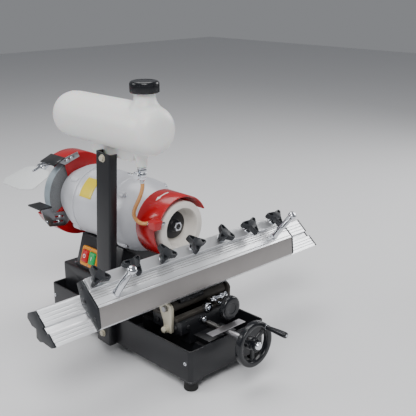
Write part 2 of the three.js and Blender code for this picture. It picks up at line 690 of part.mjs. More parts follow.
// Three tapering lobes joined by waisted flanks.
function starShape() {
  const star = new THREE.Shape();
  const lobe = 5;
  const centre = KNOB.reach - lobe;
  for (let i = 0; i < 3; i += 1) {
    const angle = (i * 120) * DEGREE;
    const x = centre * Math.cos(angle);
    const y = centre * Math.sin(angle);
    star.absarc(x, y, lobe, angle - Math.PI / 2, angle + Math.PI / 2, false);
    const waist = angle + 60 * DEGREE;
    star.lineTo(10 * Math.cos(waist), 10 * Math.sin(waist));
  }
  return star;
}

function addClampKnobs(carriage, seat) {
  const turns = [94, 35, 96, 114, 78, 36, 30];
  turns.forEach((degrees, i) => {
    const boss = rod(AXIS_Z, 7.5, 16, 12).translate(0, 0, 8);
    const head = prismZ(starShape(), 10, 24, 5);
    const knob = part(carriage, `clamp_knob_${i + 1}`, join(boss, head), BLACK_PLASTIC);
    const step = i - (KNOB.count - 1) / 2;
    knob.position.set(KNOB.shift + step * KNOB.pitch, KNOB.climb, seat);
    knob.rotation.z = degrees * DEGREE;
  });
}

function addPushPins(carriage, seat) {
  const profile = [
    [0, 0], [8.4, 0], [8.4, 4], [7, 5], [7, 75], [9.2, 77], [9.2, 82], [0, 87],
  ];
  for (const [x, side] of [[-225, 'left'], [225, 'right']]) {
    part(carriage, `push_pin_${side}`, turned(AXIS_Z, profile, 14), CHROME).position.set(x, 44, seat);
  }
}

// ---------------------------------------------------------------- assembly

function buildMachine() {
  const machine = new THREE.Group();
  addTray(machine);
  addFeet(machine);
  addPlinth(machine);
  addPedestal(machine);
  addSwitch(machine);
  const spindle = addMotor(machine);
  addRotor(spindle);
  addCupWheel(spindle);
  addCupGuard(spindle);
  addRearWheel(spindle);
  addRearGuard(spindle);
  addToolRest(machine);
  addSparkDeflector(machine);
  addEyeShield(machine);
  addTank(machine);
  addValve(machine);
  addHose(machine);
  addNozzle(machine);
  addPost(machine);
  addSlideWay(machine);
  addSaddle(machine);
  addLeadScrew(machine);
  addHandwheel(machine);
  addTiltBracket(machine);
  const incline = addIncline(machine);
  addTiltTable(incline);
  addRail(incline);
  addCarriage(incline);
  return machine;
}

// Puts the middle of the footprint on the origin and the feet on z = 0.
function centred(machine) {
  const whole = new THREE.Group();
  whole.add(machine);
  whole.updateMatrixWorld(true);
  const box = new THREE.Box3().setFromObject(machine, true);
  const middle = box.getCenter(new THREE.Vector3());
  machine.position.set(-middle.x, -middle.y, -box.min.z);
  whole.updateMatrixWorld(true);
  return whole;
}

export default centred(buildMachine());
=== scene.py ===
"""Wet grinding sharpener for planer blades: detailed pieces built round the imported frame.

Sizes are in millimetres about the machine's datum, the middle of the tray's front edge on the
floor, under the spindle axis. X runs along the blade rail, Y from the operator to the motor.
"""

import logging
import math
from dataclasses import dataclass
from enum import Enum
from typing import Callable, Optional, Sequence

import bmesh
import bpy
from mathutils import Matrix, Vector


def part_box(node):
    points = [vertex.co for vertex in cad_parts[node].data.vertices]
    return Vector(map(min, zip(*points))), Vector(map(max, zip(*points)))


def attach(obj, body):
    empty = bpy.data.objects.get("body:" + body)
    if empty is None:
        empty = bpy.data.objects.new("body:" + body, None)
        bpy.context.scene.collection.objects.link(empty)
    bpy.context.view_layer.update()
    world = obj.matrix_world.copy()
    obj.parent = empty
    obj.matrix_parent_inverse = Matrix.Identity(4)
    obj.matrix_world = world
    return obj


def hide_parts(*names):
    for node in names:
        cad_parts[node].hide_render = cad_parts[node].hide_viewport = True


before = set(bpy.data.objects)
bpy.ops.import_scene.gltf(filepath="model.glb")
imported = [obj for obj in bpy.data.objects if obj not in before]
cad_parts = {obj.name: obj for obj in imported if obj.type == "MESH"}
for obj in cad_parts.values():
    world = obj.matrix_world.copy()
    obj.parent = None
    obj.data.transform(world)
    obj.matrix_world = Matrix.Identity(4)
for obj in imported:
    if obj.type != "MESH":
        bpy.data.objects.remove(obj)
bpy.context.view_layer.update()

LOG = logging.getLogger("sharpener")
MM = 0.001
Point = tuple[float, float, float]
Flat = tuple[float, float]


def machine_datum() -> Vector:
    """Finds the datum in the row frame.

    Returns:
        The point under the spindle axis at the tray's front edge, in metres.
    """
    tray_low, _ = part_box("base_tray")
    low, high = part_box("motor_housing")
    return Vector(((low.x + high.x) / 2, tray_low.y, 0.0))


def spindle_height() -> float:
    """Returns the height of the spindle axis in millimetres."""
    low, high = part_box("motor_housing")
    return (low.z + high.z) / 2 / MM


DATUM = machine_datum()
SPINDLE = spindle_height()
TO_ROW = Matrix.Translation(DATUM) @ Matrix.Scale(MM, 4)


# ---------------------------------------------------------------- shader node groups


class Tree:
    """Adds nodes and links to one node tree."""

    def __init__(self, tree: bpy.types.NodeTree) -> None:
        """Keeps the tree that nodes are added to."""
        self.tree = tree

    def add(self, kind: str, inputs: Optional[dict] = None, **settings: object) -> bpy.types.Node:
        """Adds a node.

        Args:
            kind: The node's type name.
            inputs: Values or sockets for its inputs, by name or index.
            **settings: Properties of the node.

        Returns:
            The new node.
        """
        node = self.tree.nodes.new(kind)
        for key, value in settings.items():
            setattr(node, key, value)
        for key, value in (inputs or {}).items():
            if isinstance(value, bpy.types.NodeSocket):
                self.tree.links.new(value, node.inputs[key])
            else:
                node.inputs[key].default_value = value
        return node

    def math(self, operation: str, *values: object) -> bpy.types.NodeSocket:
        """Returns the result socket of a Math node on these values or sockets."""
        node = self.add("ShaderNodeMath", dict(enumerate(values)), operation=operation)
        return node.outputs[0]

    def blend(self, factor: object, first: object, second: object) -> bpy.types.NodeSocket:
        """Returns the socket of a colour that goes from first to second with factor."""
        node = self.add("ShaderNodeMix", data_type="RGBA")
        for index, value in ((0, factor), (6, first), (7, second)):
            if isinstance(value, bpy.types.NodeSocket):
                self.tree.links.new(value, node.inputs[index])
            else:
                node.inputs[index].default_value = value
        return node.outputs[2]


def new_group(name: str, inputs: Sequence[tuple], outputs: Sequence[str]) -> tuple[Tree, dict, dict]:
    """Starts a shader node group.

    Args:
        name: The group's name.
        inputs: Rows of socket name, socket type and default value.
        outputs: Names of the float outputs.

    Returns:
        The tree, its input sockets by name, and the group output's sockets by name.
    """
    tree = bpy.data.node_groups.new(name, "ShaderNodeTree")
    for label, kind, value in inputs:
        tree.interface.new_socket(label, in_out="INPUT", socket_type=kind).default_value = value
    for label in outputs:
        tree.interface.new_socket(label, in_out="OUTPUT", socket_type="NodeSocketFloat")
    helper = Tree(tree)
    start = helper.add("NodeGroupInput")
    end = helper.add("NodeGroupOutput")
    return helper, start.outputs, end.inputs


def surface_grain() -> bpy.types.NodeTree:
    """Returns the group that gives a fine grain and a broad, cloudy variation."""
    found = bpy.data.node_groups.get("surface_grain")
    if found:
        return found
    rows = [("Scale", "NodeSocketFloat", 600.0), ("Stretch", "NodeSocketVector", (1.0, 1.0, 1.0))]
    t, given, out = new_group("surface_grain", rows, ["Fine", "Broad"])
    place = t.add("ShaderNodeTexCoord").outputs["Object"]
    run = t.add("ShaderNodeVectorMath", {0: place, 1: given["Stretch"]}, operation="MULTIPLY")
    fine = t.add("ShaderNodeTexNoise", {"Vector": run.outputs[0], "Scale": given["Scale"], "Detail": 3.0})
    slow = t.math("MULTIPLY", given["Scale"], 0.03)
    broad = t.add("ShaderNodeTexNoise", {"Vector": place, "Scale": slow, "Detail": 4.0})
    t.tree.links.new(fine.outputs[0], out["Fine"])
    t.tree.links.new(broad.outputs[0], out["Broad"])
    return t.tree


def ring_grain() -> bpy.types.NodeTree:
    """Returns the group that gives lathe marks round an axis parallel to Y."""
    found = bpy.data.node_groups.get("ring_grain")
    if found:
        return found
    rows = [("Scale", "NodeSocketFloat", 900.0), ("Centre", "NodeSocketVector", (0.0, 0.0, 0.0))]
    t, given, out = new_group("ring_grain", rows, ["Fine"])
    place = t.add("ShaderNodeTexCoord").outputs["Object"]
    away = t.add("ShaderNodeVectorMath", {0: place, 1: given["Centre"]}, operation="SUBTRACT")
    part = t.add("ShaderNodeSeparateXYZ", {0: away.outputs[0]})
    flat = t.add("ShaderNodeCombineXYZ", {0: part.outputs[0], 1: part.outputs[2]})
    radius = t.add("ShaderNodeVectorMath", {0: flat.outputs[0]}, operation="LENGTH")
    line = t.add("ShaderNodeCombineXYZ", {0: radius.outputs["Value"], 1: part.outputs[1]})
    fine = t.add("ShaderNodeTexNoise", {"Vector": line.outputs[0], "Scale": given["Scale"]})
    t.tree.links.new(fine.outputs[0], out["Fine"])
    return t.tree


def edge_wear() -> bpy.types.NodeTree:
    """Returns the group that masks rubbed outer edges, broken up by noise."""
    found = bpy.data.node_groups.get("edge_wear")
    if found:
        return found
    t, given, out = new_group("edge_wear", [("Amount", "NodeSocketFloat", 0.5)], ["Mask"])
    round_off = t.add("ShaderNodeBevel", {"Radius": 0.0009}, samples=4)
    flat = t.add("ShaderNodeNewGeometry").outputs["Normal"]
    same = t.add("ShaderNodeVectorMath", {0: round_off.outputs[0], 1: flat}, operation="DOT_PRODUCT")
    place = t.add("ShaderNodeTexCoord").outputs["Object"]
    patch = t.add("ShaderNodeTexNoise", {"Vector": place, "Scale": 120.0, "Detail": 5.0}).outputs[0]
    rise = t.add("ShaderNodeMapRange", {0: same.outputs["Value"], 1: 0.985, 2: 0.9}).outputs[0]
    broken = t.add("ShaderNodeMapRange", {0: patch, 1: 0.45, 2: 0.65}).outputs[0]
    mask = t.math("MULTIPLY", t.math("MULTIPLY", rise, broken), given["Amount"])
    t.tree.links.new(mask, out["Mask"])
    return t.tree


def settled_dust() -> bpy.types.NodeTree:
    """Returns the group that masks grinding dust on faces that look up."""
    found = bpy.data.node_groups.get("settled_dust")
    if found:
        return found
    t, given, out = new_group("settled_dust", [("Amount", "NodeSocketFloat", 0.3)], ["Mask"])
    up = t.add("ShaderNodeSeparateXYZ", {0: t.add("ShaderNodeNewGeometry").outputs["Normal"]}).outputs[2]
    place = t.add("ShaderNodeTexCoord").outputs["Object"]
    cloud = t.add("ShaderNodeTexNoise", {"Vector": place, "Scale": 26.0, "Detail": 8.0}).outputs[0]
    facing = t.add("ShaderNodeMapRange", {0: up, 1: 0.3, 2: 1.0}).outputs[0]
    patchy = t.add("ShaderNodeMapRange", {0: cloud, 1: 0.38, 2: 0.7}).outputs[0]
    mask = t.math("MULTIPLY", t.math("MULTIPLY", facing, patchy), given["Amount"])
    t.tree.links.new(mask, out["Mask"])
    return t.tree


# ---------------------------------------------------------------- finishes


class Grain(Enum):
    """How the fine marks of a surface run, as the stretch of their pattern."""

    EVEN = (1.0, 1.0, 1.0)
    ALONG_X = (0.012, 1.0, 1.0)
    ALONG_Y = (1.0, 0.02, 1.0)
    ROUND = (0.0, 0.0, 0.0)


@dataclass(frozen=True)
class Finish:
    """One surface finish, made into a procedural material when first used."""

    name: str
    color: tuple[float, float, float]
    roughness: float
    metallic: float = 0.0
    coat: float = 0.0
    grain: Grain = Grain.EVEN
    scale: float = 700.0
    depth: float = 0.02
    mottle: float = 0.12
    variation: float = 0.1
    speckle: float = 0.0
    speckle_color: tuple[float, float, float] = (0.4, 0.4, 0.4)
    wear: float = 0.0
    wear_color: tuple[float, float, float] = (0.32, 0.32, 0.33)
    dust: float = 0.0
    transmission: float = 0.0
    subsurface: float = 0.0
    ior: float = 1.45

    def material(self) -> bpy.types.Material:
        """Returns the Blender material of this finish."""
        found = bpy.data.materials.get(self.name)
        if found:
            return found
        made = bpy.data.materials.new(self.name)
        made.use_nodes = True
        t = Tree(made.node_tree)
        shader = made.node_tree.nodes["Principled BSDF"]
        marks = t.add("ShaderNodeGroup", {"Scale": self.scale}, node_tree=surface_grain())
        fine = marks.outputs["Fine"]
        if self.grain is Grain.ROUND:
            centre = DATUM + Vector((0.0, 0.0, SPINDLE * MM))
            rings = t.add(
                "ShaderNodeGroup", {"Scale": self.scale, "Centre": centre}, node_tree=ring_grain()
            )
            fine = rings.outputs["Fine"]
        else:
            marks.inputs["Stretch"].default_value = self.grain.value
        self._color(t, shader, marks.outputs["Broad"], fine)
        self._relief(t, shader, fine)
        shader.inputs["Metallic"].default_value = self.metallic
        shader.inputs["Coat Weight"].default_value = self.coat
        shader.inputs["Transmission Weight"].default_value = self.transmission
        shader.inputs["Subsurface Weight"].default_value = self.subsurface
        shader.inputs["Subsurface Scale"].default_value = 0.004
        shader.inputs["IOR"].default_value = self.ior
        return made

    def _color(
        self, t: Tree, shader: bpy.types.Node, broad: bpy.types.NodeSocket, fine: bpy.types.NodeSocket
    ) -> None:
        """Links the mottled, speckled, worn and dusty colour.

        Args:
            t: The material's tree.
            shader: The Principled BSDF.
            broad: The cloudy variation.
            fine: The fine grain.
        """
        dark = tuple(c * (1 - 2 * self.mottle) for c in self.color) + (1.0,)
        color = t.blend(broad, self.color + (1.0,), dark)
        if self.speckle > 0:
            grit = t.add("ShaderNodeMapRange", {0: fine, 1: 0.52, 2: 0.62}).outputs[0]
            amount = t.math("MULTIPLY", grit, self.speckle)
            color = t.blend(amount, color, self.speckle_color + (1.0,))
        if self.wear > 0:
            rubbed = t.add("ShaderNodeGroup", {"Amount": self.wear}, node_tree=edge_wear())
            color = t.blend(rubbed.outputs[0], color, self.wear_color + (1.0,))
        if self.dust > 0:
            film = t.add("ShaderNodeGroup", {"Amount": self.dust}, node_tree=settled_dust())
            color = t.blend(film.outputs[0], color, (0.36, 0.34, 0.31, 1.0))
        t.tree.links.new(color, shader.inputs["Base Color"])

    def _relief(self, t: Tree, shader: bpy.types.Node, fine: bpy.types.NodeSocket) -> None:
        """Links the roughness variation and the bump from the fine grain.

        Args:
            t: The material's tree.
            shader: The Principled BSDF.
            fine: The fine grain.
        """
        base = self.roughness - self.variation / 2
        rough = t.math("MULTIPLY_ADD", fine, self.variation, base)
        t.tree.links.new(rough, shader.inputs["Roughness"])
        bump = t.add("ShaderNodeBump", {"Strength": 0.6, "Distance": self.depth * MM, "Height": fine})
        t.tree.links.new(bump.outputs[0], shader.inputs["Normal"])


BLACK_PAINT = Finish(
    "black_powder_coat", (0.012, 0.0125, 0.015), 0.34, scale=1100, depth=0.05, mottle=0.08, variation=0.08,
    wear=0.5, dust=0.05,
)
BLACK_PLASTIC = Finish("black_moulded_plastic", (0.015, 0.017, 0.021), 0.4, scale=1600, depth=0.04,
                       wear=0.2)
GLOSS_BLACK = Finish("black_phenolic", (0.01, 0.011, 0.014), 0.2, scale=900, depth=0.004, variation=0.06,
                     wear=0.2)
RUBBER = Finish("black_rubber", (0.012, 0.012, 0.012), 0.75, scale=1200, depth=0.06, dust=0.2)
GREY_PAINT = Finish(
    "light_grey_paint", (0.6, 0.61, 0.65), 0.34, metallic=0.1, scale=420, depth=0.06, mottle=0.03,
    variation=0.08, wear=0.3, wear_color=(0.5, 0.5, 0.5),
)
RED_PAINT = Finish(
    "red_gloss_paint", (0.42, 0.006, 0.01), 0.24, coat=0.25, scale=500, depth=0.01, mottle=0.06, wear=0.25,
    wear_color=(0.62, 0.28, 0.26),
)
STEEL = Finish(
    "ground_steel", (0.4, 0.4, 0.41), 0.34, metallic=1.0, grain=Grain.ALONG_X, scale=900, depth=0.01,
    mottle=0.08
)
OILED_STEEL = Finish(
    "oiled_screw_steel", (0.09, 0.088, 0.085), 0.36, metallic=0.9, grain=Grain.ALONG_X, scale=900,
    depth=0.01, dust=0.15,
)
TURNED_STEEL = Finish("turned_steel", (0.45, 0.45, 0.46), 0.3, metallic=1.0, grain=Grain.ROUND, depth=0.01)
CHROME = Finish(
    "chrome_plate", (0.74, 0.76, 0.8), 0.12, metallic=1.0, scale=900, depth=0.001, mottle=0.03,
    variation=0.06
)
ALUMINIUM = Finish(
    "extruded_aluminium", (0.87, 0.88, 0.9), 0.36, metallic=0.8, grain=Grain.ALONG_X, scale=1300,
    depth=0.006, mottle=0.04, variation=0.14,
)
# Painted reflection: a darker brownish grey for the carriage's front face, standing for the dark
# surroundings that the bright aluminium reflects.
FRONT_REFLECTION = Finish(
    "painted_reflection_front", (0.36, 0.34, 0.33), 0.42, metallic=0.85, grain=Grain.ALONG_X, scale=1300,
    depth=0.004, mottle=0.05,
)
BRUSHED_STRIP = Finish(
    "brushed_strip", (0.68, 0.66, 0.67), 0.34, metallic=1.0, grain=Grain.ALONG_X, scale=1500, depth=0.006,
    mottle=0.08,
)
ZINC = Finish(
    "pale_zinc_casting", (0.62, 0.58, 0.46), 0.4, metallic=0.45, scale=500, depth=0.12, dust=0.06,
    wear=0.3, wear_color=(0.75, 0.74, 0.7),
)
# Dark brown casting colour; on the right tilt cheek it is painted shade, the pale cheek casting darkened
# for its shadow behind the knob.
TAN_CAST_AND_SHADE = Finish("tan_casting_and_painted_shade", (0.045, 0.04, 0.034), 0.5, metallic=0.3, scale=380, depth=0.2, dust=0.15)
VARNISHED = Finish("varnished_laminations", (0.16, 0.11, 0.07), 0.5, metallic=0.4, grain=Grain.ALONG_Y)
WHITE_GRIT = Finish(
    "white_alumina", (0.78, 0.74, 0.68), 0.85, scale=1700, depth=0.3, mottle=0.05, speckle=0.35,
    speckle_color=(0.92, 0.9, 0.87),
)
GREY_GRIT = Finish(
    "grey_abrasive", (0.2, 0.21, 0.22), 0.85, scale=1500, depth=0.3, speckle=0.5,
    speckle_color=(0.36, 0.37, 0.38),
)
PALE_GRIT = Finish(
    "pale_wheel_rim", (0.5, 0.6, 0.66), 0.8, scale=1500, depth=0.3, speckle=0.3,
    speckle_color=(0.72, 0.8, 0.84),
)
TANK_WHITE = Finish(
    "milky_polyethylene", (0.84, 0.84, 0.82), 0.36, scale=260, depth=0.05, mottle=0.02, variation=0.06,
    subsurface=0.35,
)
AMBER_TUBE = Finish(
    "amber_tube", (0.8, 0.4, 0.14), 0.18, transmission=0.35, depth=0.003, mottle=0.1, variation=0.06
)
HAZY_SHEET = Finish(
    "hazy_shield", (0.78, 0.8, 0.8), 0.32, transmission=0.18, scale=300, depth=0.006, mottle=0.05
)
SWITCH_ORANGE = Finish("orange_plastic", (0.78, 0.29, 0.02), 0.35, scale=1300, depth=0.02)
RED_BUTTON = Finish("red_button", (0.5, 0.006, 0.01), 0.3, depth=0.005)
GREEN_BUTTON = Finish("green_button", (0.006, 0.4, 0.1), 0.3, depth=0.005)
WHITE_MARK = Finish("white_print", (0.82, 0.82, 0.81), 0.4, depth=0.003, mottle=0.04)
YELLOW_PLATE = Finish("yellow_plate", (0.8, 0.62, 0.03), 0.35, depth=0.005, mottle=0.05, wear=0.2)


# ---------------------------------------------------------------- shaping


class Axis(Enum):
    """The axis that a turned or extruded shape runs along."""

    X = 0
    Y = 1
    Z = 2

    def point(self, a: float, b: float, along: float) -> Point:
        """Returns the point with the plane's two coordinates and the distance along the axis."""
        if self is Axis.X:
            return (along, a, b)
        if self is Axis.Y:
            return (a, along, b)
        return (a, b, along)


def smooth(points: Sequence[Sequence[float]], steps: int = 6, closed: bool = False) -> list[tuple]:
    """Runs a Catmull-Rom curve through points.

    Args:
        points: The points, of any dimension.
        steps: Points made per span.
        closed: Whether the curve joins up.

    Returns:
        The points of the curve.
    """
    count = len(points)
    made = []
    for i in range(count if closed else count - 1):
        if closed:
            near = [points[(i + k) % count] for k in (-1, 0, 1, 2)]
        else:
            near = [points[min(max(i + k, 0), count - 1)] for k in (-1, 0, 1, 2)]
        for step in range(steps):
            s = step / steps
            made.append(
                tuple(
                    0.5 * (2 * b + (c - a) * s + (2 * a - 5 * b + 4 * c - d) * s * s
                           + (3 * b - a - 3 * c + d) * s**3)
                    for a, b, c, d in zip(*near)
                )
            )
    if not closed:
        made.append(tuple(points[-1]))
    return made


def rounded_loop(low: Flat, high: Flat, radius: float, inset: float = 0.0, steps: int = 6) -> list[Flat]:
    """Outlines a rectangle with round corners.

    Args:
        low: Its low corner.
        high: Its high corner.
        radius: Corner radius.
        inset: How far the outline is drawn in.
        steps: Segments in each corner.

    Returns:
        The outline's points, anticlockwise.
    """
    turn = max(radius - inset, 0.05)
    x0, y0 = low[0] + inset + turn, low[1] + inset + turn
    x1, y1 = high[0] - inset - turn, high[1] - inset - turn
    made = []
    for corner, (x, y) in enumerate(((x1, y1), (x0, y1), (x0, y0), (x1, y0))):
        for step in range(steps + 1):
            angle = (corner + step / steps) * math.pi / 2
            made.append((x + turn * math.cos(angle), y + turn * math.sin(angle)))
    return made


def arc(radius: float, start: float, end: float, steps: int) -> list[Flat]:
    """Returns points on a circle about the origin between two angles in degrees."""
    angles = [math.radians(start + (end - start) * i / steps) for i in range(steps + 1)]
    return [(radius * math.cos(a), radius * math.sin(a)) for a in angles]


class Sculpt:
    """One piece in the making: closed shells in millimetres, in a local frame of the machine."""

    def __init__(self, place: Optional[Matrix] = None) -> None:
        """Starts an empty piece whose local frame is place."""
        self.mesh = bmesh.new()
        self.place = place or Matrix.Identity(4)
        self.cutters: list[Sculpt] = []
        self.paints: list[tuple[Callable[[Vector, Vector], bool], Finish]] = []

    def _band(self, low: list, high: list) -> None:
        """Adds the faces between two rings, either of which may be a single pole."""
        count = max(len(low), len(high))
        for i in range(count):
            j = (i + 1) % count
            corners = (low[i % len(low)], low[j % len(low)], high[j % len(high)], high[i % len(high)])
            unique = list(dict.fromkeys(corners))
            if len(unique) > 2:
                self.mesh.faces.new(unique)

    def shell(self, rings: Sequence[Sequence[Point]], looped: bool = False) -> "Sculpt":
        """Adds a skin over rings of points.

        Args:
            rings: Rings with the same number of points, or a single point as a pole.
            looped: Whether the last ring joins the first; if not, the ends are capped.

        Returns:
            This piece.
        """
        rows = [[self.mesh.verts.new(point) for point in ring] for ring in rings]
        for low, high in zip(rows, rows[1:]):
            self._band(low, high)
        if looped:
            self._band(rows[-1], rows[0])
        else:
            for end in (rows[0], rows[-1]):
                if len(end) > 2:
                    self.mesh.faces.new(end)
        return self

    def turn(
        self, profile: Sequence[Flat], centre: Point = (0, 0, 0), axis: Axis = Axis.Y, sides: int = 96
    ) -> "Sculpt":
        """Adds a turned shell.

        Args:
            profile: Pairs of radius and distance along the axis.
            centre: The point that the axis passes through.
            axis: The axis's direction.
            sides: Segments round the axis.

        Returns:
            This piece.
        """
        rings = []
        for radius, along in profile:
            count = sides if radius > 0 else 1
            angles = [2 * math.pi * i / sides for i in range(count)]
            ring = [axis.point(radius * math.cos(a), radius * math.sin(a), along) for a in angles]
            rings.append([tuple(p + c for p, c in zip(point, centre)) for point in ring])
        return self.shell(rings, looped=profile[0][0] > 0 and profile[-1][0] > 0)

    def extrude(self, outline: Sequence[Flat], start: float, end: float, axis: Axis = Axis.X) -> "Sculpt":
        """Adds a prism of an outline between two distances along an axis, and returns this piece."""
        return self.shell([[axis.point(a, b, at) for a, b in outline] for at in (start, end)])

    def block(self, low: Point, high: Point, radius: float = 1.5, edge: float = 0.6) -> "Sculpt":
        """Adds an upright block with round corners and soft edges.

        Args:
            low: Its lowest corner.
            high: Its highest corner.
            radius: Radius of the upright edges.
            edge: Softness of the top and bottom edges.

        Returns:
            This piece.
        """
        levels = ((edge, low[2]), (0.0, low[2] + edge), (0.0, high[2] - edge), (edge, high[2]))
        return self.shell(
            [[(x, y, z) for x, y in rounded_loop(low[:2], high[:2], radius, inset, 4)]
             for inset, z in levels]
        )

    def rod(self, start: Point, end: Point, radius: float, sides: int = 32, edge: float = 0.5) -> "Sculpt":
        """Adds a round bar between two points, with its ends broken, and returns this piece."""
        line = Vector(end) - Vector(start)
        length = line.length
        turned = line.to_track_quat("Z", "Y").to_matrix().to_4x4()
        place = Matrix.Translation(start) @ turned
        rows = ((0, 0), (radius - edge, 0), (radius, edge), (radius, length - edge),
                (radius - edge, length), (0, length))
        rings = []
        for r, along in rows:
            count = sides if r > 0 else 1
            angles = [2 * math.pi * i / sides for i in range(count)]
            rings.append([tuple(place @ Vector((r * math.cos(a), r * math.sin(a), along)))
                          for a in angles])
        return self.shell(rings)

    def cut(self, *cutters: "Sculpt") -> "Sculpt":
        """Notes shapes to be cut away, in the same local frame, and returns this piece."""
        self.cutters.extend(cutters)
        return self

    def paint(self, where: Callable[[Vector, Vector], bool], look: Finish) -> "Sculpt":
        """Gives another finish to the faces whose middle and normal pass a test, and returns this piece."""
        self.paints.append((where, look))
        return self

    def _object(self, name: str) -> bpy.types.Object:
        """Returns the shells as an object in the row frame, with faces outward."""
        shape = self.mesh.copy()
        bmesh.ops.recalc_face_normals(shape, faces=shape.faces)
        shape.normal_update()
        for index, (where, _) in enumerate(self.paints, start=1):
            for face in shape.faces:
                if where(face.calc_center_median(), face.normal):
                    face.material_index = index
        shape.transform(TO_ROW @ self.place)
        data = bpy.data.meshes.new(name)
        shape.to_mesh(data)
        shape.free()
        made = bpy.data.objects.new(name, data)
        bpy.context.scene.collection.objects.link(made)
        return made

    def done(
        self, name: str, look: Finish, body: str, *nodes: str, slot: str = "", edge: float = 0.4,
        voxel: float = 0.0, sharp: float = 38.0,
    ) -> bpy.types.Object:
        """Finishes the piece: cuts, soft edges, shading, finish and the body that it rides on.

        Args:
            name: The piece's name.
            look: Its finish.
            body: The CAD body it rides on.
            *nodes: The CAD nodes that it stands for.
            slot: The record's material slot.
            edge: Width of the bevel on hard edges.
            voxel: Voxel size where the shells are melted together, or 0.
            sharp: Angle in degrees above which an edge is shaded hard.

        Returns:
            The piece.
        """
        made = self._object(name)
        made.data.materials.append(look.material())
        for _, other in self.paints:
            made.data.materials.append(other.material())
        cutters = [cutter._object(name + "_cutter") for cutter in self.cutters]
        for cutter in cutters:
            tool = made.modifiers.new("cut", "BOOLEAN")
            tool.operation, tool.solver, tool.object = "DIFFERENCE", "EXACT", cutter
        if voxel > 0:
            melt = made.modifiers.new("melt", "REMESH")
            melt.mode, melt.voxel_size = "VOXEL", voxel * MM
            ease = made.modifiers.new("ease", "SMOOTH")
            ease.factor, ease.iterations = 0.5, 8
        if edge > 0:
            soft = made.modifiers.new("soft", "BEVEL")
            soft.width, soft.segments, soft.limit_method = edge * MM, 2, "ANGLE"
            soft.angle_limit = math.radians(sharp)
        settle(made, sharp)
        for cutter in cutters:
            bpy.data.objects.remove(cutter)
        if nodes:
            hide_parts(*nodes)
        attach(made, body)
        LOG.info("%s: %d faces on %s", name, len(made.data.polygons), body)
        return made


def settle(made: bpy.types.Object, sharp: float = 38.0) -> None:
    """Turns an object's modifiers into its mesh and sets its shading.

    Args:
        made: The object.
        sharp: Angle in degrees above which an edge is shaded hard.
    """
    bpy.context.view_layer.update()
    graph = bpy.context.evaluated_depsgraph_get()
    final = bpy.data.meshes.new_from_object(made.evaluated_get(graph))
    made.modifiers.clear()
    made.data = final
    final.name = made.name
    final.shade_smooth()
    final.set_sharp_from_angle(angle=math.radians(sharp))


# ---------------------------------------------------------------- geometry nodes


def geometry_tree(name: str, inputs: Sequence[tuple[str, str]]) -> tuple[Tree, dict, dict]:
    """Starts a Geometry Nodes tree.

    Args:
        name: The tree's name.
        inputs: Rows of socket name and socket type, after the geometry.

    Returns:
        The tree, its input sockets, and the group output's sockets.
    """
    tree = bpy.data.node_groups.new(name, "GeometryNodeTree")
    tree.interface.new_socket("Geometry", in_out="INPUT", socket_type="NodeSocketGeometry")
    for label, kind in inputs:
        tree.interface.new_socket(label, in_out="INPUT", socket_type=kind)
    tree.interface.new_socket("Geometry", in_out="OUTPUT", socket_type="NodeSocketGeometry")
    helper = Tree(tree)
    return helper, helper.add("NodeGroupInput").outputs, helper.add("NodeGroupOutput").inputs


def socket_heads() -> bpy.types.NodeTree:
    """Returns the tree that puts a socket-head screw on each point, facing along an attribute."""
    found = bpy.data.node_groups.get("socket_heads")
    if found:
        return found
    rows = [("Head Radius", "NodeSocketFloat"), ("Head Height", "NodeSocketFloat"),
            ("Socket Radius", "NodeSocketFloat"), ("Finish", "NodeSocketMaterial")]
    t, given, out = geometry_tree("socket_heads", rows)
    height = given["Head Height"]
    head = t.add("GeometryNodeMeshCylinder", {"Vertices": 28, "Radius": given["Head Radius"],
                                              "Depth": height})
    crown = t.add("GeometryNodeMeshCone", {
        "Vertices": 28, "Radius Top": t.math("MULTIPLY", given["Head Radius"], 0.86),
        "Radius Bottom": given["Head Radius"], "Depth": t.math("MULTIPLY", height, 0.22),
    })
    lift = t.add("ShaderNodeCombineXYZ", {2: t.math("MULTIPLY", height, 0.5)})
    raised = t.add("GeometryNodeTransform", {"Geometry": crown.outputs[0], "Translation": lift.outputs[0]})
    pit = t.add("GeometryNodeMeshCylinder", {"Vertices": 6, "Radius": given["Socket Radius"],
                                             "Depth": height})
    top = t.add("ShaderNodeCombineXYZ", {2: t.math("MULTIPLY", height, 0.8)})
    sunk = t.add("GeometryNodeTransform", {"Geometry": pit.outputs[0], "Translation": top.outputs[0]})
    whole = t.add("GeometryNodeMeshBoolean", operation="UNION")
    t.tree.links.new(head.outputs[0], whole.inputs[1])
    t.tree.links.new(raised.outputs[0], whole.inputs[1])
    bored = t.add("GeometryNodeMeshBoolean", operation="DIFFERENCE")
    t.tree.links.new(whole.outputs[0], bored.inputs[0])
    t.tree.links.new(sunk.outputs[0], bored.inputs[1])
    facing = t.add("GeometryNodeInputNamedAttribute", {"Name": "facing"}, data_type="FLOAT_VECTOR")
    aim = t.add("FunctionNodeAlignRotationToVector", {"Vector": facing.outputs[0]}, axis="Z")
    spread = t.add("GeometryNodeInstanceOnPoints", {
        "Points": given["Geometry"], "Instance": bored.outputs[0], "Rotation": aim.outputs[0]})
    solid = t.add("GeometryNodeRealizeInstances", {0: spread.outputs[0]})
    dressed = t.add("GeometryNodeSetMaterial", {"Geometry": solid.outputs[0], "Material": given["Finish"]})
    t.tree.links.new(dressed.outputs[0], out["Geometry"])
    return t.tree


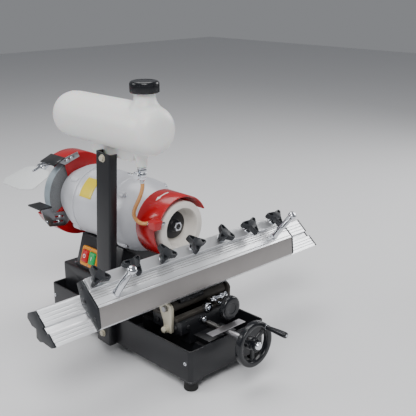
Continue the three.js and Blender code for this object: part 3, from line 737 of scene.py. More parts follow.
def grip_ribs() -> bpy.types.NodeTree:
    """Returns the tree that sets upright ribs round a circle about Z."""
    found = bpy.data.node_groups.get("grip_ribs")
    if found:
        return found
    rows = [("Count", "NodeSocketInt"), ("Radius", "NodeSocketFloat"), ("Height", "NodeSocketFloat"),
            ("Rib Width", "NodeSocketFloat"), ("Finish", "NodeSocketMaterial")]
    t, given, out = geometry_tree("grip_ribs", rows)
    ring = t.add("GeometryNodeMeshCircle", {"Vertices": given["Count"], "Radius": given["Radius"]})
    rib = t.add("GeometryNodeMeshCylinder", {
        "Vertices": 8, "Radius": t.math("MULTIPLY", given["Rib Width"], 0.5), "Depth": given["Height"]})
    spread = t.add("GeometryNodeInstanceOnPoints", {"Points": ring.outputs[0], "Instance": rib.outputs[0]})
    solid = t.add("GeometryNodeRealizeInstances", {0: spread.outputs[0]})
    dressed = t.add("GeometryNodeSetMaterial", {"Geometry": solid.outputs[0], "Material": given["Finish"]})
    t.tree.links.new(dressed.outputs[0], out["Geometry"])
    return t.tree


def grow(name: str, tree: bpy.types.NodeTree, source: bpy.types.Mesh, values: dict, body: str,
         place: Optional[Matrix] = None) -> bpy.types.Object:
    """Runs a Geometry Nodes tree and keeps the plain mesh that it makes.

    Args:
        name: The piece's name.
        tree: The tree.
        source: The mesh that the tree reads.
        values: The tree's inputs by name, in metres.
        body: The CAD body it rides on.
        place: A transform for the result, in millimetres of the machine, or None if source is placed.

    Returns:
        The piece.
    """
    made = bpy.data.objects.new(name, source)
    bpy.context.scene.collection.objects.link(made)
    grower = made.modifiers.new("grower", "NODES")
    grower.node_group = tree
    for item in tree.interface.items_tree:
        if item.in_out == "INPUT" and item.name in values:
            grower[item.identifier] = values[item.name]
    settle(made, 30.0)
    if place is not None:
        rotation = place.to_3x3().to_4x4()
        made.data.transform(Matrix.Translation(TO_ROW @ place.translation) @ rotation)
    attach(made, body)
    LOG.info("%s: %d faces on %s", name, len(made.data.polygons), body)
    return made


def screws(name: str, body: str, seats: Sequence[tuple[Point, Point]], radius: float, height: float,
           look: Finish = CHROME, place: Optional[Matrix] = None) -> bpy.types.Object:
    """Sets socket-head screws on their seats.

    Args:
        name: The piece's name.
        body: The CAD body they ride on.
        seats: Pairs of the seat's point and the direction that its head looks in.
        radius: Head radius in millimetres.
        height: Head height in millimetres.
        look: Their finish.
        place: The local frame of the seats.

    Returns:
        The piece.
    """
    local = place or Matrix.Identity(4)
    points = []
    aims = []
    for seat, aim in seats:
        direction = (local.to_3x3() @ Vector(aim)).normalized()
        points.append(TO_ROW @ (local @ Vector(seat)) + direction * (height * 0.42 * MM))
        aims.extend(direction)
    source = bpy.data.meshes.new(name)
    source.from_pydata(points, [], [])
    source.attributes.new("facing", "FLOAT_VECTOR", "POINT").data.foreach_set("vector", aims)
    values = {"Head Radius": radius * MM, "Head Height": height * MM, "Socket Radius": radius * 0.5 * MM,
              "Finish": look.material()}
    return grow(name, socket_heads(), source, values, body)


def ribs(name: str, body: str, place: Matrix, count: int, radius: float, height: float, width: float,
         look: Finish) -> bpy.types.Object:
    """Sets grip ribs round an axis along the local Z of place, sizes in millimetres.

    Args:
        name: The piece's name.
        body: The CAD body they ride on.
        place: The local frame, with the ribs' middle at its origin.
        count: Number of ribs.
        radius: Radius of their ring.
        height: Their length.
        width: Their thickness.
        look: Their finish.

    Returns:
        The piece.
    """
    source = bpy.data.meshes.new(name)
    values = {"Count": count, "Radius": radius * MM, "Height": height * MM, "Rib Width": width * MM,
              "Finish": look.material()}
    return grow(name, grip_ribs(), source, values, body, place)


# ---------------------------------------------------------------- base


@dataclass
class Base:
    """Tray, feet, plinth and pedestal."""

    half_width: float = 108.0
    length: float = 492.0
    bottom: float = 22.0
    top: float = 91.0
    wall: float = 4.0
    pad: float = 36.0
    foot_inset: float = 15.0
    plinth_top: float = 139.0

    def tray(self) -> None:
        """Builds the pan with its folded lip and corner pads."""
        low, high = (-self.half_width, 0.0), (self.half_width, self.length)
        levels = [
            (2.0, self.bottom), (0.3, self.bottom + 0.6), (0.0, self.bottom + 2), (0.0, self.top - 1.4),
            (0.5, self.top - 0.3), (1.4, self.top), (self.wall - 1, self.top), (self.wall, self.top - 1),
            (self.wall, self.bottom + self.wall + 3), (self.wall + 3, self.bottom + self.wall),
        ]
        pan = Sculpt().shell(
            [[(x, y, z) for x, y in rounded_loop(low, high, 9.0, inset)] for inset, z in levels]
        )
        for side in (-1, 1):
            for y in (0.0, self.length - self.pad):
                x0, x1 = sorted((side * (self.half_width - self.pad), side * self.half_width))
                pan.block((x0, y, 18.0), (x1, y + self.pad, self.bottom + 1), 6.0, 1.0)
        pan.done("tray_pan", BLACK_PAINT, "root", "base_tray", slot="black_paint", edge=0)
        seats = [((side * self.half_width, y, 62.0), (side, 0, 0)) for side in (-1, 1)
                 for y in (14.0, 478.0)]
        screws("tray_screws", "root", seats, 4.2, 2.6)

    def feet(self) -> None:
        """Builds the four rubber feet."""
        profile = [(0, 0), (12.4, 0), (14.2, 0.9), (15, 2.8), (15, 5), (14.3, 8.5), (14.0, 13),
                   (14.2, 16.6), (13.6, 17.4), (0, 17.4)]
        for side, name in ((-1, "left"), (1, "right")):
            for y, end in ((self.foot_inset, "front"), (self.length - self.foot_inset, "rear")):
                centre = (side * (self.half_width - self.foot_inset), y, 0.0)
                node = f"foot_{end}_{name}"
                foot = Sculpt().turn(profile, centre, Axis.Z, 48)
                foot.done(f"rubber_{node}", RUBBER, "root", node, slot="rubber", edge=0.5)

    def plinth(self) -> None:
        """Builds the box that the pedestal stands on, with a folded seam and louvres."""
        low, high = (-78.0, 272.0), (78.0, 484.0)
        levels = [(0.0, 26.3), (0.0, self.plinth_top - 3), (1.0, self.plinth_top - 0.8),
                  (3.0, self.plinth_top)]
        box = Sculpt().shell(
            [[(x, y, z) for x, y in rounded_loop(low, high, 7.0, inset)] for inset, z in levels]
        )
        slots = Sculpt()
        for row in range(5):
            z = 68.0 + 9 * row
            for side in (-1, 1):
                x0, x1 = sorted((side * 76.5, side * 80.0))
                slots.block((x0, 345.0, z), (x1, 411.0, z + 3.4), 1.0, 1.0)
        box.cut(slots).done("plinth_box", BLACK_PAINT, "root", "plinth", slot="black_paint", edge=0.6)
        seats = [((x, y, self.plinth_top), (0, 0, 1)) for x in (-60.0, 60.0) for y in (277.5, 456.0)]
        screws("plinth_screws", "root", seats, 3.2, 2.0)

    def pedestal(self) -> None:
        """Builds the tapered pedestal under the motor, hollowed to its round shell, and the gland."""
        low = self.plinth_top + 0.3
        outline = [(-70, low), (70, low), (46, 216), (-46, 216)]
        shaft = Sculpt().turn([(0, 270), (83.3, 270), (83.3, 460), (0, 460)], (0, 0, SPINDLE), sides=128)
        body = Sculpt().extrude(outline, 284, 442, Axis.Y).cut(shaft)
        body.done("pedestal_casting", BLACK_PAINT, "root", "pedestal", slot="black_paint", edge=2.2)
        gland = Sculpt().turn([(4, 442.3), (13, 442.3), (13, 447), (4, 447)], (25, 0, 165), sides=6)
        dome = [(4, 446), (10.4, 446), (10.4, 452), (9.6, 456), (7.6, 459.2), (4, 459.3)]
        gland.turn(dome, (25, 0, 165), sides=40)
        gland.done("lead_gland", BLACK_PLASTIC, "root", "cable_gland", slot="black_plastic", edge=0.5)

    def build(self) -> None:
        """Builds the whole base."""
        self.tray()
        self.feet()
        self.plinth()
        self.pedestal()


@dataclass
class Switch:
    """Push-button switch on the pedestal's sloping left face."""

    centre: Point = (-60.5, 388.0, 170.0)
    run: float = 24.0
    rise: float = 77.0
    spacing: float = 13.5

    def place(self) -> Matrix:
        """Returns the local frame: X to the front, Y up the face, Z out of it."""
        tilt = math.atan2(self.run, self.rise)
        columns = ((0, -1, 0), (math.sin(tilt), 0, math.cos(tilt)), (-math.cos(tilt), 0, math.sin(tilt)))
        turned = Matrix(columns).transposed().to_4x4()
        return Matrix.Translation(self.centre) @ turned

    def button(self, name: str, x: float, look: Finish, slot: str, ring: bool) -> None:
        """Builds one button with its raised mark.

        Args:
            name: The CAD node that it stands for.
            x: Its place across the plate.
            look: Its finish.
            slot: The material slot name handed on to its pieces.
            ring: Whether its mark is a ring; if not, it is a bar.
        """
        key = Sculpt(self.place())
        levels = ((0.0, 5.5), (0.0, 10.2), (1.2, 11.4), (3.0, 12.2))
        key.shell([[(a, b, z) for a, b in rounded_loop((x - 11.4, -14.4), (x + 11.4, 14.4), 2.5, inset)]
                   for inset, z in levels])
        key.done(name + "_cap", look, name, name, slot=slot, edge=0.3)
        mark = Sculpt(self.place())
        if ring:
            mark.turn([(3.2, 12.0), (4.8, 12.0), (4.8, 12.45), (3.2, 12.45)], (x, 0, 0), Axis.Z, 36)
        else:
            mark.block((x - 0.9, -4.5, 12.0), (x + 0.9, 4.5, 12.45), 0.5, 0.1)
        mark.done(name + "_mark", WHITE_MARK, name, slot=slot, edge=0)

    def build(self) -> None:
        """Builds the plate, its rim and both buttons."""
        plate = Sculpt(self.place())
        levels = ((0.0, 0.8), (0.0, 6.4), (0.6, 7.6), (1.6, 8.0))
        plate.shell([[(a, b, z) for a, b in rounded_loop((-31, -23), (31, 23), 6.0, inset)]
                     for inset, z in levels])
        pockets = Sculpt(self.place())
        for x in (-self.spacing, self.spacing):
            pockets.block((x - 12, -15, 3), (x + 12, 15, 12), 2.6, 0.1)
        plate.cut(pockets).done("switch_frame", SWITCH_ORANGE, "root", "switch_plate", slot="switch_amber",
                                edge=0.3)
        seats = [((0.0, y, 8.0), (0, 0, 1)) for y in (-19.0, 19.0)]
        screws("switch_screws", "root", seats, 2.0, 1.0, place=self.place())
        self.button("stop_button", -self.spacing, RED_BUTTON, "button_red", True)
        self.button("start_button", self.spacing, GREEN_BUTTON, "button_green", False)


# ---------------------------------------------------------------- motor and wheels


@dataclass
class Motor:
    """Motor shell, end bells, rotor and bearings on the spindle axis."""

    middle: float = 355.85
    half_length: float = 65.5
    lug_circle: float = 78.0

    def housing(self) -> None:
        """Builds the round shell with a rolled bead near each end."""
        front, back = self.middle - self.half_length, self.middle + self.half_length
        profile = [
            (76, front), (81.6, front), (82, front + 0.6), (82, front + 9), (80.8, front + 11),
            (80.8, back - 11), (82, back - 9), (82, back - 0.6), (81.6, back), (76, back),
        ]
        Sculpt().turn(profile, (0, 0, SPINDLE), sides=144).done(
            "motor_shell", GREY_PAINT, "root", "motor_housing", slot="grey_paint", edge=0)

    def bell(self, node: str, mirrored: bool) -> None:
        """Builds one end bell with its bearing boss and screw lugs.

        Args:
            node: The CAD node that it stands for.
            mirrored: Whether it is the rear one.
        """
        def at(y: float) -> float:
            """Returns y, or its mirror image about the motor's middle."""
            return 2 * self.middle - y if mirrored else y

        outer = smooth([(62.5, 210.4), (67.5, 222), (73, 236), (78.2, 248), (81, 258), (82.6, 268),
                        (83, 278)], 4)
        profile = [(13, 209.6), (13.8, 209), (28, 209), (29, 210.4), (33, 210.4), (34, 209), (61, 209)]
        profile += outer + [(83, 289.4), (82.4, 290), (77, 290), (77, 278), (67, 240), (58, 223),
                            (28, 223), (28, 238), (20.3, 238), (20.3, 221), (13, 221)]
        casting = Sculpt().turn([(r, at(y)) for r, y in profile], (0, 0, SPINDLE), sides=144)
        seats = []
        for quarter in range(4):
            angle = math.radians(45 + 90 * quarter)
            x, z = self.lug_circle * math.cos(angle), SPINDLE + self.lug_circle * math.sin(angle)
            lug = [(0, 258), (7.2, 258), (8.5, 259.6), (8.5, 282), (7, 283.5), (0, 283.5)]
            casting.turn([(r, at(y)) for r, y in lug], (x, 0, z), sides=32)
            seats.append(((x, at(258.0), z), (0, 1 if mirrored else -1, 0)))
        casting.done(node + "_casting", GREY_PAINT, "root", node, slot="grey_paint", edge=0.5)
        screws(node + "_screws", "root", seats, 5.2, 4.6)

    def plate(self) -> None:
        """Builds the blank yellow plate on the upper left of the shell."""
        sides = 10
        rings = []
        for step in range(5):
            y = 360.0 + 42 * step / 4
            outside = [(82.5 * a / 82, 82.5 * b / 82) for a, b in arc(82.0, 124, 158, sides)]
            inside = arc(80.6, 158, 124, sides)
            rings.append([(a, y, SPINDLE + b) for a, b in outside + inside])
        Sculpt().shell(rings).done("motor_plate", YELLOW_PLATE, "root", slot="grey_paint", edge=0.15)

    def rotor(self) -> None:
        """Builds the shaft with its core, spacers, centre hole and stepped ends."""
        profile = [
            (0, 155.5), (2.0, 154.2), (5.2, 154.0), (6, 154.8), (6, 188.4), (8.6, 188.4), (9, 188.9),
            (9, 212), (10, 212), (10, 240), (14, 240), (14, 314), (43.2, 314), (43.7, 314.6),
            (43.7, 397.1), (43.2, 397.7), (14, 397.7), (14, 471.7), (10, 471.7), (10, 506.5),
            (23.4, 506.5), (24, 507.1), (24, 511.7), (6, 511.7), (6, 548), (5, 549), (0, 549),
        ]
        shaft = Sculpt().turn(profile, (0, 0, SPINDLE), sides=96)
        shaft.paint(lambda middle, normal: middle.y < 155.9, OILED_STEEL).done(
            "rotor_and_shaft", TURNED_STEEL, "spindle", "rotor_shaft", slot="steel", edge=0.3)

    def inside(self) -> None:
        """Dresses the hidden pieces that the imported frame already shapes."""
        for node, look in (("stator", VARNISHED), ("front_bearing", TURNED_STEEL),
                           ("rear_bearing", TURNED_STEEL)):
            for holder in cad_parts[node].material_slots:
                holder.link = "OBJECT"
                holder.material = look.material()

    def build(self) -> None:
        """Builds the motor."""
        self.housing()
        self.bell("front_bell", False)
        self.bell("rear_bell", True)
        self.plate()
        self.rotor()
        self.inside()


@dataclass
class CupHead:
    """Cup grinding wheel with its flange, nut and red guard."""

    drum: float = 70.0
    sheet: float = 3.0
    front: float = 136.0
    cut_front: float = 149.0
    back: float = 208.4

    def wheel(self) -> None:
        """Builds the abrasive cup, its flange and nut."""
        axis = (0, 0, SPINDLE)
        cup = [
            (6.3, 172), (33, 172), (37, 170.8), (39.6, 168), (40.5, 164), (42, 144), (42.6, 139.6),
            (43.6, 138), (55, 138), (56.4, 138.7), (57, 140.4), (57, 183), (56.4, 185.6), (54.4, 187.6),
            (53, 188), (6.3, 188),
        ]
        wheel = Sculpt().turn(cup, axis, sides=128)
        wheel.done("cup_abrasive", WHITE_GRIT, "spindle", "cup_wheel", slot="abrasive_white", edge=0,
                   sharp=50)
        flange = [
            (6.3, 160), (12.4, 160), (13, 160.6), (14, 163), (15.5, 163.5), (28.4, 164.4), (29.6, 165.2),
            (30, 166.4), (30, 171.7), (6.3, 171.7),
        ]
        disc = Sculpt().turn(flange, axis, sides=72)
        disc.done("cup_clamp_flange", BLACK_PAINT, "spindle", "cup_flange", slot="black_paint", edge=0)
        hexagon = [(a, SPINDLE + b) for a, b in arc(11.0, 0, 300, 5)]
        bore = Sculpt().turn([(0, 140), (6.3, 140), (6.3, 170), (0, 170)], axis, sides=48)
        crown = Sculpt().turn([(9.6, 140), (16, 140), (16, 152.6), (10.6, 150.9), (9.6, 150.2)], axis,
                              sides=64)
        nut = Sculpt().extrude(hexagon, 150.7, 159.7, Axis.Y).cut(bore, crown)
        nut.done("cup_nut", CHROME, "spindle", "spindle_nut", slot="chrome", edge=0.3)

    def wedge(self, start: float, end: float, y_end: float) -> Sculpt:
        """Returns a cutter for the part of the drum between two angles, forward of y_end."""
        fan = [(0.0, SPINDLE)] + [(a, SPINDLE + b) for a, b in arc(2 * self.drum, start, end, 8)]
        return Sculpt().extrude(fan, self.front - 5, y_end, Axis.Y)

    def guard(self) -> None:
        """Builds the sheet drum with its rolled rim, cut open at the lower right."""
        inner = self.drum - self.sheet
        profile = [
            (36, self.back - self.sheet), (36, self.back), (67.6, self.back), (69.4, self.back - 0.8),
            (self.drum, self.back - 2.4), (self.drum, self.front + 0.8), (self.drum - 0.5, self.front),
            (inner + 0.5, self.front), (inner, self.front + 0.8), (inner, self.back - self.sheet),
        ]
        drum = Sculpt().turn(profile, (0, 0, SPINDLE), sides=160)
        drum.cut(self.wedge(-98, 26, self.back - self.sheet), self.wedge(167, 262, self.cut_front))
        drum.done("cup_guard_sheet", RED_PAINT, "root", "cup_guard", slot="red_paint", edge=0.5)
        seats = []
        for angle in (60, 120, 200):
            a, b = arc(52.0, angle, angle, 1)[0]
            seats.append(((a, self.back - self.sheet, SPINDLE + b), (0, -1, 0)))
        screws("cup_guard_screws", "root", seats, 3.4, 2.0)

    def arrow(self) -> None:
        """Builds the raised white arrow that shows which way the wheel turns."""
        rings = []
        for step in range(19):
            turned = 92 + 30 * step / 18
            if step <= 12:
                half = 1.6
            else:
                half = 4.6 * (18 - step) / 5 + 0.05
            angle = math.radians(turned)
            ring = []
            for radius, y in ((69.7, -half), (70.3, -half), (70.3, half), (69.7, half)):
                ring.append((radius * math.cos(angle), 178 + y, SPINDLE + radius * math.sin(angle)))
            rings.append(ring)
        Sculpt().shell(rings).done("turning_arrow", WHITE_MARK, "root", slot="red_paint", edge=0)

    def build(self) -> None:
        """Builds the cup wheel and its guard."""
        self.wheel()
        self.guard()
        self.arrow()


@dataclass
class RearHead:
    """Rear disc wheel with its guard, rest, spark deflector and eye shield."""

    wheel_radius: float = 85.0
    wheel_front: float = 512.0
    wheel_back: float = 538.0
    outer: float = 102.0
    sheet: float = 3.0
    front: float = 503.0
    back: float = 560.0
    bracket_front: float = 499.4
    bracket_back: float = 502.4
    hinge: Point = (-92.0, 528.0, 368.0)
    shield_tilt: float = -22.0

    def wheel(self) -> None:
        """Builds the abrasive disc, pale on its rim, and its stepped nut."""
        front, back, radius = self.wheel_front, self.wheel_back, self.wheel_radius
        profile = [
            (6.3, front), (24.5, front), (radius - 1, front), (radius, front + 1), (radius, back - 1),
            (radius - 1, back), (26.5, back), (6.3, back),
        ]
        disc = Sculpt().turn(profile, (0, 0, SPINDLE), sides=128)
        disc.paint(lambda middle, normal: abs(normal.y) < 0.5 and normal.length > 0, PALE_GRIT)
        disc.done("rear_abrasive", GREY_GRIT, "spindle", "rear_wheel", slot="abrasive_grey", edge=0)
        at = back + 0.3
        nut = Sculpt().turn([(6.3, at), (25.4, at), (26, at + 0.6), (26, at + 2.6), (25, at + 3),
                             (14, at + 5), (6.3, at + 5)],
                            (0, 0, SPINDLE), sides=64)
        hexagon = [(a, SPINDLE + b) for a, b in arc(11.0, 0, 300, 5)]
        bore = Sculpt().turn([(0, at), (6.3, at), (6.3, at + 20), (0, at + 20)], (0, 0, SPINDLE), sides=40)
        nut.extrude(hexagon, at + 4.5, at + 13, Axis.Y).cut(bore)
        nut.done("rear_flange_nut", STEEL, "spindle", "rear_wheel_nut", slot="steel", edge=0.3)

    def guard(self) -> None:
        """Builds the shroud, open towards the left where the rest stands."""
        outer, front, back, wall = self.outer, self.front, self.back, self.sheet
        section = [
            (0, back - wall), (outer - wall, back - wall), (outer - wall, front + wall),
            (30, front + wall), (30, front), (outer - 2.2, front), (outer - 0.6, front + 0.6),
            (outer, front + 2.2), (outer, back - 2.2), (outer - 0.6, back - 0.6), (outer - 2.2, back),
            (0, back),
        ]
        mouth = [
            (-60, 112), (-43, 79), (-34, 41), (-51, 16), (-53, 0), (-50, -18), (-78, -35), (-125, -58),
            (-135, -50), (-135, 112),
        ]
        away = Sculpt().extrude([(x, SPINDLE + z) for x, z in mouth], front - 5, back + 5, Axis.Y)
        drum = Sculpt().turn(section, (0, 0, SPINDLE), sides=160).cut(away)
        drum.done("rear_guard_sheet", RED_PAINT, "root", "rear_guard", slot="red_paint", edge=0.4)
        seats = []
        for angle in (30, 75, -30, -75):
            a, b = arc(88.0, angle, angle, 1)[0]
            seats.append(((a, back, SPINDLE + b), (0, 1, 0)))
        screws("rear_guard_screws", "root", seats, 3.6, 2.2)

    def slot_cutter(self, corners: Sequence[Flat]) -> Sculpt:
        """Returns a cutter for an adjusting slot in a bracket sheet."""
        return Sculpt().extrude(corners, self.bracket_front - 3, self.bracket_back + 3, Axis.Y)

    def rest(self) -> None:
        """Builds the slotted arm, the rest plate and the arm's bolts."""
        arm = [(-118, 271), (-110, 245), (-98, 227), (-55, 222), (-38, 234), (-57, 257), (-84, 259),
               (-92, 274), (-118, 274)]
        rest = Sculpt().extrude(arm, self.bracket_front, self.bracket_back, Axis.Y)
        rest.cut(self.slot_cutter([(-88, 234.5), (-60, 231.5), (-60, 235.5), (-88, 238.5)]),
                 self.slot_cutter([(-82, 246.5), (-58, 243.5), (-58, 247.5), (-82, 250.5)]))
        rest.done("rest_arm", STEEL, "tool_rest", slot="steel", edge=0.4)
        table = Sculpt().block((-122, self.bracket_front, 272), (-88, 553, 276), 2.0, 0.5)
        table.done("rest_table", BLACK_PAINT, "tool_rest", "tool_rest", slot="black_paint", edge=0)
        seats = [((x, self.bracket_front, z), (0, -1, 0))
                 for x, z in ((-73, 235.0), (-70, 247.2), (-104, 240.0))]
        screws("rest_bolts", "tool_rest", seats, 3.8, 2.6)

    def deflector(self) -> None:
        """Builds the slotted arm over the wheel, its black flap and the shield's hinge."""
        arm = [(-67, 380), (-8, 395), (-3, 383), (-45, 369)]
        sheet = Sculpt().extrude(arm, self.bracket_front, self.bracket_back, Axis.Y)
        sheet.cut(self.slot_cutter([(-46, 377), (-20, 384), (-19, 388), (-46, 381)]))
        sheet.done("deflector_arm", STEEL, "spark_deflector", slot="steel", edge=0.4)
        flap = Sculpt().extrude([(-76, 371), (-44, 384.5), (-45, 387.5), (-77, 374)], self.bracket_front,
                                558, Axis.Y)
        flap.done("deflector_flap", BLACK_PAINT, "spark_deflector", slot="black_paint", edge=0.5)
        x, y, z = self.hinge
        ears = Sculpt()
        for side in (-1, 1):
            ear = [(-74, 371.5), (-74, 375), (x, z + 5), (x - 3.4, z + 3.2), (x - 5, z),
                   (x - 3.4, z - 3.2), (x, z - 5)]
            ears.extrude(ear, y + side * 10 - 3, y + side * 10 + 3, Axis.Y)
        ears.rod((x, y - 14.5, z), (x, y + 14.5, z), 3.0, 28)
        ears.rod((x, y - 16, z), (x, y - 12.8, z), 4.6, 6, 0.3)
        ears.done("shield_hinge", CHROME, "spark_deflector", "spark_deflector", slot="chrome", edge=0.4)
        seats = [((-28.0, self.bracket_front, 383.6), (0, -1, 0)),
                 ((-40.0, self.bracket_front, 380.0), (0, -1, 0))]
        screws("deflector_bolts", "spark_deflector", seats, 3.8, 2.6)

    def shield(self) -> None:
        """Builds the hazy sheet on its hinge arm."""
        place = Matrix.Translation(self.hinge) @ Matrix.Rotation(math.radians(self.shield_tilt), 4, "Y")
        corners = [(-6.5, -44), (-6.5, 24), (-16, 44), (-70, 56), (-86, 42), (-86, -36), (-74, -70),
                   (-24, -62)]
        outline = []
        for i, (x, y) in enumerate(corners):
            before, after = Vector(corners[i - 1]), Vector(corners[(i + 1) % len(corners)])
            here = Vector((x, y))
            first = here + (before - here).normalized() * 5
            last = here + (after - here).normalized() * 5
            outline.extend(tuple(p) for p in (first, here.lerp((first + last) / 2, 0.5), last))
        sheet = Sculpt(place)
        sheet.extrude(outline, -1.2, 1.2, Axis.Z)
        sheet.done("shield_sheet", HAZY_SHEET, "eye_shield", "eye_shield", slot="clear_sheet", edge=0.5)
        arm = Sculpt(place).turn([(3.3, -6), (5.6, -6), (6, -5.6), (6, 5.6), (5.6, 6), (3.3, 6)], sides=40)
        arm.block((-24, -5, 1.2), (-4.2, 5, 2.8), 1.0, 0.3)
        arm.done("shield_knuckle", CHROME, "eye_shield", slot="chrome", edge=0)
        screws("shield_screws", "eye_shield", [((-19.0, 0.0, 2.8), (0, 0, 1))], 2.6, 1.6, place=place)

    def build(self) -> None:
        """Builds the rear wheel and everything round it."""
        self.wheel()
        self.guard()
        self.rest()
        self.deflector()
        self.shield()


# ---------------------------------------------------------------- coolant


@dataclass
class Coolant:
    """Tank on its post, with cap, cock, hose and nozzle."""

    x: float = -101.5
    z: float = 517.0
    radius: float = 49.4
    front: float = 75.0
    back: float = 396.0
    neck_y: float = 126.0
    spout_y: float = 141.0
    lean: float = 4.0
    post_foot: Point = (0.0, 255.0, 45.0)
    hose_radius: float = 4.0

    def hose(self) -> None:
        """Builds the amber hose from the cock, down past the drum and round into the nozzle."""
        route = [
            (-101.5, 141, 406.6), (-101.5, 141.2, 399), (-102, 145, 386), (-101, 156, 368),
            (-97, 172, 349), (-92, 184, 331), (-86, 184, 317), (-81, 175, 311), (-78, 165, 311.5),
            (-76.5, 157, 314.2), (-76.5, 150.7, 314.5),
        ]
        line = [TO_ROW @ Vector(point) for point in smooth(route, 4)]
        curve = bpy.data.curves.new("coolant_tube", "CURVE")
        curve.dimensions = "3D"
        curve.bevel_depth = self.hose_radius * MM
        curve.bevel_resolution = 6
        curve.use_fill_caps = True
        spline = curve.splines.new("POLY")
        spline.points.add(len(line) - 1)
        for point, place in zip(spline.points, line):
            point.co = (*place, 1.0)
        spline.use_smooth = True
        curve.materials.append(AMBER_TUBE.material())
        tube = bpy.data.objects.new("coolant_tube", curve)
        bpy.context.scene.collection.objects.link(tube)
        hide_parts("coolant_hose")
        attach(tube, "root")

    def tank(self) -> None:
        """Builds the blow-moulded tank: barrel, neck, spout and mounting rib, melted together."""
        front, back, radius = self.front, self.back, self.radius
        barrel = smooth(
            [(0, front + 0.4), (14, front + 0.8), (28, front + 3.4), (40, front + 11), (47, front + 24),
             (radius, front + 42)], 5)
        barrel += smooth(
            [(radius, back - 48), (47.2, back - 28), (41, back - 13), (29, back - 4), (14, back - 1),
             (0, back - 0.4)], 5)
        body = Sculpt().turn(barrel, (self.x, 0, self.z), sides=96)
        neck = [(0, 540), (34, 545), (30, 560), (25, 567), (22, 574), (20.6, 582), (20.6, 602.6),
                (0, 602.6)]
        body.turn(neck, (self.x, self.neck_y, 0), Axis.Z, 64)
        spout = [(0, 440), (10.6, 440), (11.4, 444), (12.6, 458), (16, 468), (24, 476), (0, 490)]
        body.turn(spout, (self.x, self.spout_y, 0), Axis.Z, 48)
        rib = [(158, 458), (161, 449), (168, 446), (292, 446), (299, 450), (301, 458), (303, 480),
               (156, 480)]
        body.extrude(rib, self.x - 5.6, self.x + 5.6, Axis.X)
        body.done("tank_moulding", TANK_WHITE, "root", "tank", slot="tank_plastic", edge=0, voxel=2.0,
                  sharp=60)
        self.seam(barrel)

    def seam(self, barrel: Sequence[Flat]) -> None:
        """Builds the thin parting line round the barrel.

        Args:
            barrel: The barrel's profile, as pairs of radius and distance along Y.
        """
        upper = [(y, self.z + r + 0.35) for r, y in barrel]
        lower = [(y, self.z - r - 0.35) for r, y in reversed(barrel)]
        line = Sculpt().extrude(upper + lower, self.x - 0.5, self.x + 0.5, Axis.X)
        line.done("tank_seam", TANK_WHITE, "root", slot="tank_plastic", edge=0.1)

    def cap(self) -> None:
        """Builds the screw cap with its grip ribs."""
        profile = [
            (0, 603.3), (21.6, 603.3), (21.6, 587), (27.2, 587), (28, 587.8), (28, 605.4), (27, 607.6),
            (24.6, 609.2), (22, 609.7), (20.5, 609.2), (19, 608.6), (0, 608.6),
        ]
        lid = Sculpt().turn(profile, (self.x, self.neck_y, 0), Axis.Z, 96)
        lid.done("cap_shell", GLOSS_BLACK, "tank_cap", "tank_cap", slot="black_plastic", edge=0, sharp=50)
        place = Matrix.Translation((self.x, self.neck_y, 596.6))
        ribs("cap_ribs", "tank_cap", place, 56, 27.8, 16.5, 1.4, GLOSS_BLACK)

    def cock(self) -> None:
        """Builds the plated cock with its barbed outlet, and its lever."""
        profile = [
            (0, 407.0), (3.9, 407.0), (4.6, 409), (3.9, 411.2), (4.8, 413), (7, 415), (7, 419), (8.6, 420),
            (9, 421), (9, 428.4), (8.4, 429.4), (7, 430), (7, 436), (8.6, 437), (9, 438), (9, 439.4),
            (0, 439.6),
        ]
        place = (self.x, self.spout_y, 0)
        body = Sculpt().turn(profile, place, Axis.Z, 48)
        body.rod((self.x - 11.2, self.spout_y, 424.5), (self.x - 1, self.spout_y, 424.5), 4.0, 28)
        body.done("cock_body", CHROME, "root", "valve_body", slot="chrome", edge=0.2)
        nut = Sculpt().turn([(8.2, 430.4), (9.8, 430.4), (9.8, 436), (8.2, 436)], place, Axis.Z, 6)
        nut.done("cock_nut", CHROME, "root", slot="chrome", edge=0.4)
        x = self.x - 14
        handle = Sculpt().rod((x - 2.5, self.spout_y, 424.5), (x + 2.5, self.spout_y, 424.5), 8.5, 48, 0.8)
        start = self.spout_y
        blade = [(start, 422.0), (start + 22, 422.7), (start + 27, 423.2), (start + 28, 424.5),
                 (start + 27, 425.8), (start + 22, 426.3), (start, 427.0)]
        handle.extrude(blade, x - 1.5, x + 1.5, Axis.X)
        handle.done("cock_lever", CHROME, "valve_lever", "valve_lever", slot="chrome", edge=0.4)

    def nozzle(self) -> None:
        """Builds the red block on the guard and its plated tip."""
        drum = Sculpt().turn([(0, 100), (70.3, 100), (70.3, 180), (0, 180)], (0, 0, SPINDLE), sides=128)
        block = Sculpt().block((-84, 127, 305), (-62, 150, 323), 2.0, 1.2).cut(drum)
        block.done("nozzle_block", RED_PAINT, "root", "coolant_nozzle", slot="red_paint", edge=0.3)
        tip = Sculpt().rod((-78, 131, 315), (-55, 131, 315), 3.5, 28)
        tip.done("nozzle_tip", CHROME, "root", slot="chrome", edge=0)
        clip = Sculpt().turn([(4.2, 150.3), (5.6, 150.3), (5.6, 153.4), (4.2, 153.4)], (-76.5, 0, 314.5),
                             sides=36)
        clip.done("hose_clip", CHROME, "root", slot="chrome", edge=0.2)

